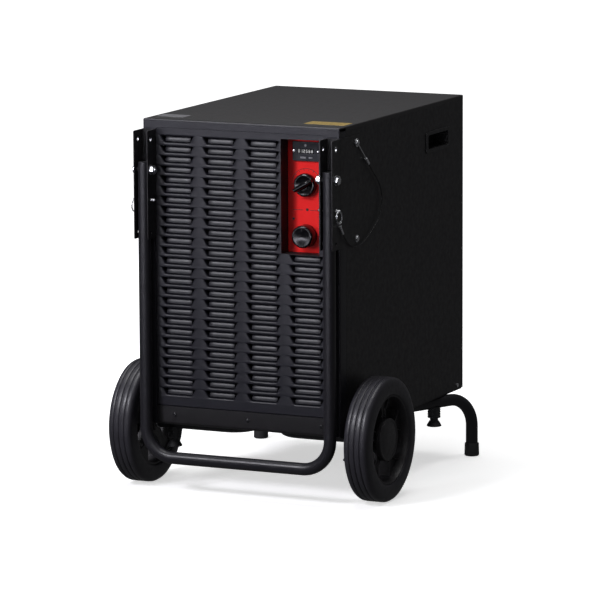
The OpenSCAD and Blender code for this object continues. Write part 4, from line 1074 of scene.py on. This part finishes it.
def carried_over():
    """Materials and softened edges for the CAD parts that stay."""
    looks = {"rear_panel": (SIDE_PAINT, 0.5), "humidistat": (WHITE_PLASTIC, 0.8),
             "mode_switch": (PLASTIC, 0.8),
             "partition": (STEEL, 0.3), "evaporator": (FINS, 0.3), "condenser": (FINS, 0.3),
             "coil_pipes": (COPPER, 0),
             "drip_tray": (WHITE_PLASTIC, 0.8), "air_filter": (FOAM, 0.8), "compressor": (ENAMEL, 0),
             "compressor_mounts": (RUBBER, 0.6), "electrics_box": (STEEL, 0.8), "fan_motor": (PLASTIC, 0.8),
             "fan_shroud": (STEEL, 0.4), "fan_rotor": (PLASTIC, 0.6)}
    for name, (mat, width) in looks.items():
        obj = frame["nodes"][name]
        obj.data.materials.clear()
        obj.data.materials.append(mat)
        if width:
            weld = obj.modifiers.new("weld", "WELD")
            weld.merge_threshold = 0.00001
            add_bevel(obj, width)


# ---- floor and light ----
# Floor glow next to the machine, lower than further out: a painted shadow round it.
FLOOR_SHADE_NEAR = 0.58
WORLD = 0.08
GLOW = 8.4
GLOW_NEAR = 2.6
GLOW_FAR = 6.5


def card(name, at, size, look, power=None, color=(0, 0, 0, 1)):
    """A stage card, facing a point. With power it is a soft light, otherwise a plain card."""
    if power is not None:
        data = bpy.data.lights.new(name, "AREA")
        data.shape = "RECTANGLE"
        data.size, data.size_y = size
        data.energy = power
        data.color = color[:3]
    else:
        w, h = size[0] / 2, size[1] / 2
        data = bpy.data.meshes.new(name)
        data.from_pydata([(-w, -h, 0), (w, -h, 0), (w, h, 0), (-w, h, 0)], [], [[0, 1, 2, 3]])
    obj = bpy.data.objects.new(name, data)
    bpy.context.scene.collection.objects.link(obj)
    obj.location = at
    obj.rotation_mode = "QUATERNION"
    obj.rotation_quaternion = (Vector(look) - Vector(at)).to_track_quat("-Z", "Y")
    return obj


def emitter(name, color, strength):
    m = bpy.data.materials.new(name)
    m.use_nodes = True
    nodes, links = m.node_tree.nodes, m.node_tree.links
    nodes.clear()
    out = nodes.new("ShaderNodeOutputMaterial")
    e = nodes.new("ShaderNodeEmission")
    e.inputs["Color"].default_value = color
    e.inputs["Strength"].default_value = strength
    links.new(e.outputs["Emission"], out.inputs["Surface"])
    return m


def gradient(m, socket, axis_scale, near, far, low, high):
    """Drives a socket from low to high as the distance from the card's own origin grows from near to far."""
    nodes, links = m.node_tree.nodes, m.node_tree.links
    coords = nodes.new("ShaderNodeTexCoord")
    scale = nodes.new("ShaderNodeVectorMath")
    scale.operation = "MULTIPLY"
    scale.inputs[1].default_value = axis_scale
    size = nodes.new("ShaderNodeVectorMath")
    size.operation = "LENGTH"
    ramp = nodes.new("ShaderNodeMapRange")
    ramp.interpolation_type = "SMOOTHSTEP"
    for key, value in (("From Min", near), ("From Max", far), ("To Min", low), ("To Max", high)):
        ramp.inputs[key].default_value = value
    links.new(coords.outputs["Object"], scale.inputs[0])
    links.new(scale.outputs["Vector"], size.inputs[0])
    links.new(size.outputs["Value"], ramp.inputs["Value"])
    links.new(ramp.outputs["Result"], socket)


def stage():
    floor = card("floor", (0, 0, 0), (120, 120), (0, 0, -1), None)
    white = bpy.data.materials.new("floor white with painted shade")
    white.use_nodes = True
    bsdf = white.node_tree.nodes["Principled BSDF"]
    bsdf.inputs["Base Color"].default_value = (0.85, 0.85, 0.85, 1)
    bsdf.inputs["Roughness"].default_value = 0.85
    bsdf.inputs["Specular IOR Level"].default_value = 0.0
    bsdf.inputs["Emission Color"].default_value = (1, 1, 1, 1)
    # Floor glow rises from the near value within 0.5 m of the machine to 1.1 beyond 1.5 m: a painted shadow
    # round the machine.
    gradient(white, bsdf.inputs["Emission Strength"], (1, 1, 1), 0.5, 1.5, FLOOR_SHADE_NEAR, 1.1)
    floor.data.materials.append(white)
    floor.visible_glossy = False
    floor.visible_diffuse = False
    middle = (0, 0, 0.4)
    card("key_soft", (-1.5, -3.5, 3.1), (1.3, 0.9), middle, 115, color=(0.94, 0.93, 1.0))
    card("front_soft", (1.3, -4.6, 3.0), (2.2, 1.6), middle, 14, color=(0.98, 0.98, 1.0))
    card("over_soft", (-0.3, 0.2, 3.4), (2.6, 2.6), (0, 0, 0), 80, color=(1, 1, 1))
    low = card("left_strip", (-1.7, -3.4, 1.1), (0.6, 1.0), middle, 44, color=(0.97, 0.97, 1.0))
    low.visible_glossy = False
    world = bpy.data.worlds.new("studio")
    world.use_nodes = True
    world.node_tree.nodes["Background"].inputs["Color"].default_value = (0.97, 0.97, 1.0, 1)
    world.node_tree.nodes["Background"].inputs["Strength"].default_value = WORLD
    bpy.context.scene.world = world
    glow = card("front_glow", (-1.4, -0.5, 0.01), (8.0, 24.0), (-1.4, -0.5, -1), None)
    for v in glow.data.vertices:
        v.co.y = min(v.co.y, 0)
    shine = emitter("front glow", (0.90, 0.89, 1.0, 1), 0)
    gradient(shine, shine.node_tree.nodes["Emission"].inputs["Strength"], (0, 1, 0), GLOW_NEAR, GLOW_FAR, 0.0,
             GLOW)
    glow.data.materials.append(shine)
    glow.visible_camera = False
    glow.visible_shadow = False
    glow.visible_diffuse = False
    glow.visible_transmission = False
    scene = bpy.context.scene
    scene.view_settings.view_transform = "Standard"
    scene.view_settings.look = "None"


cabinet_shell()
base_pan()
front_panel()
controls()
grips()
brackets()
lock_pins()
handle()
legs()
wheels()
small_parts()
rear()
carried_over()
stage()
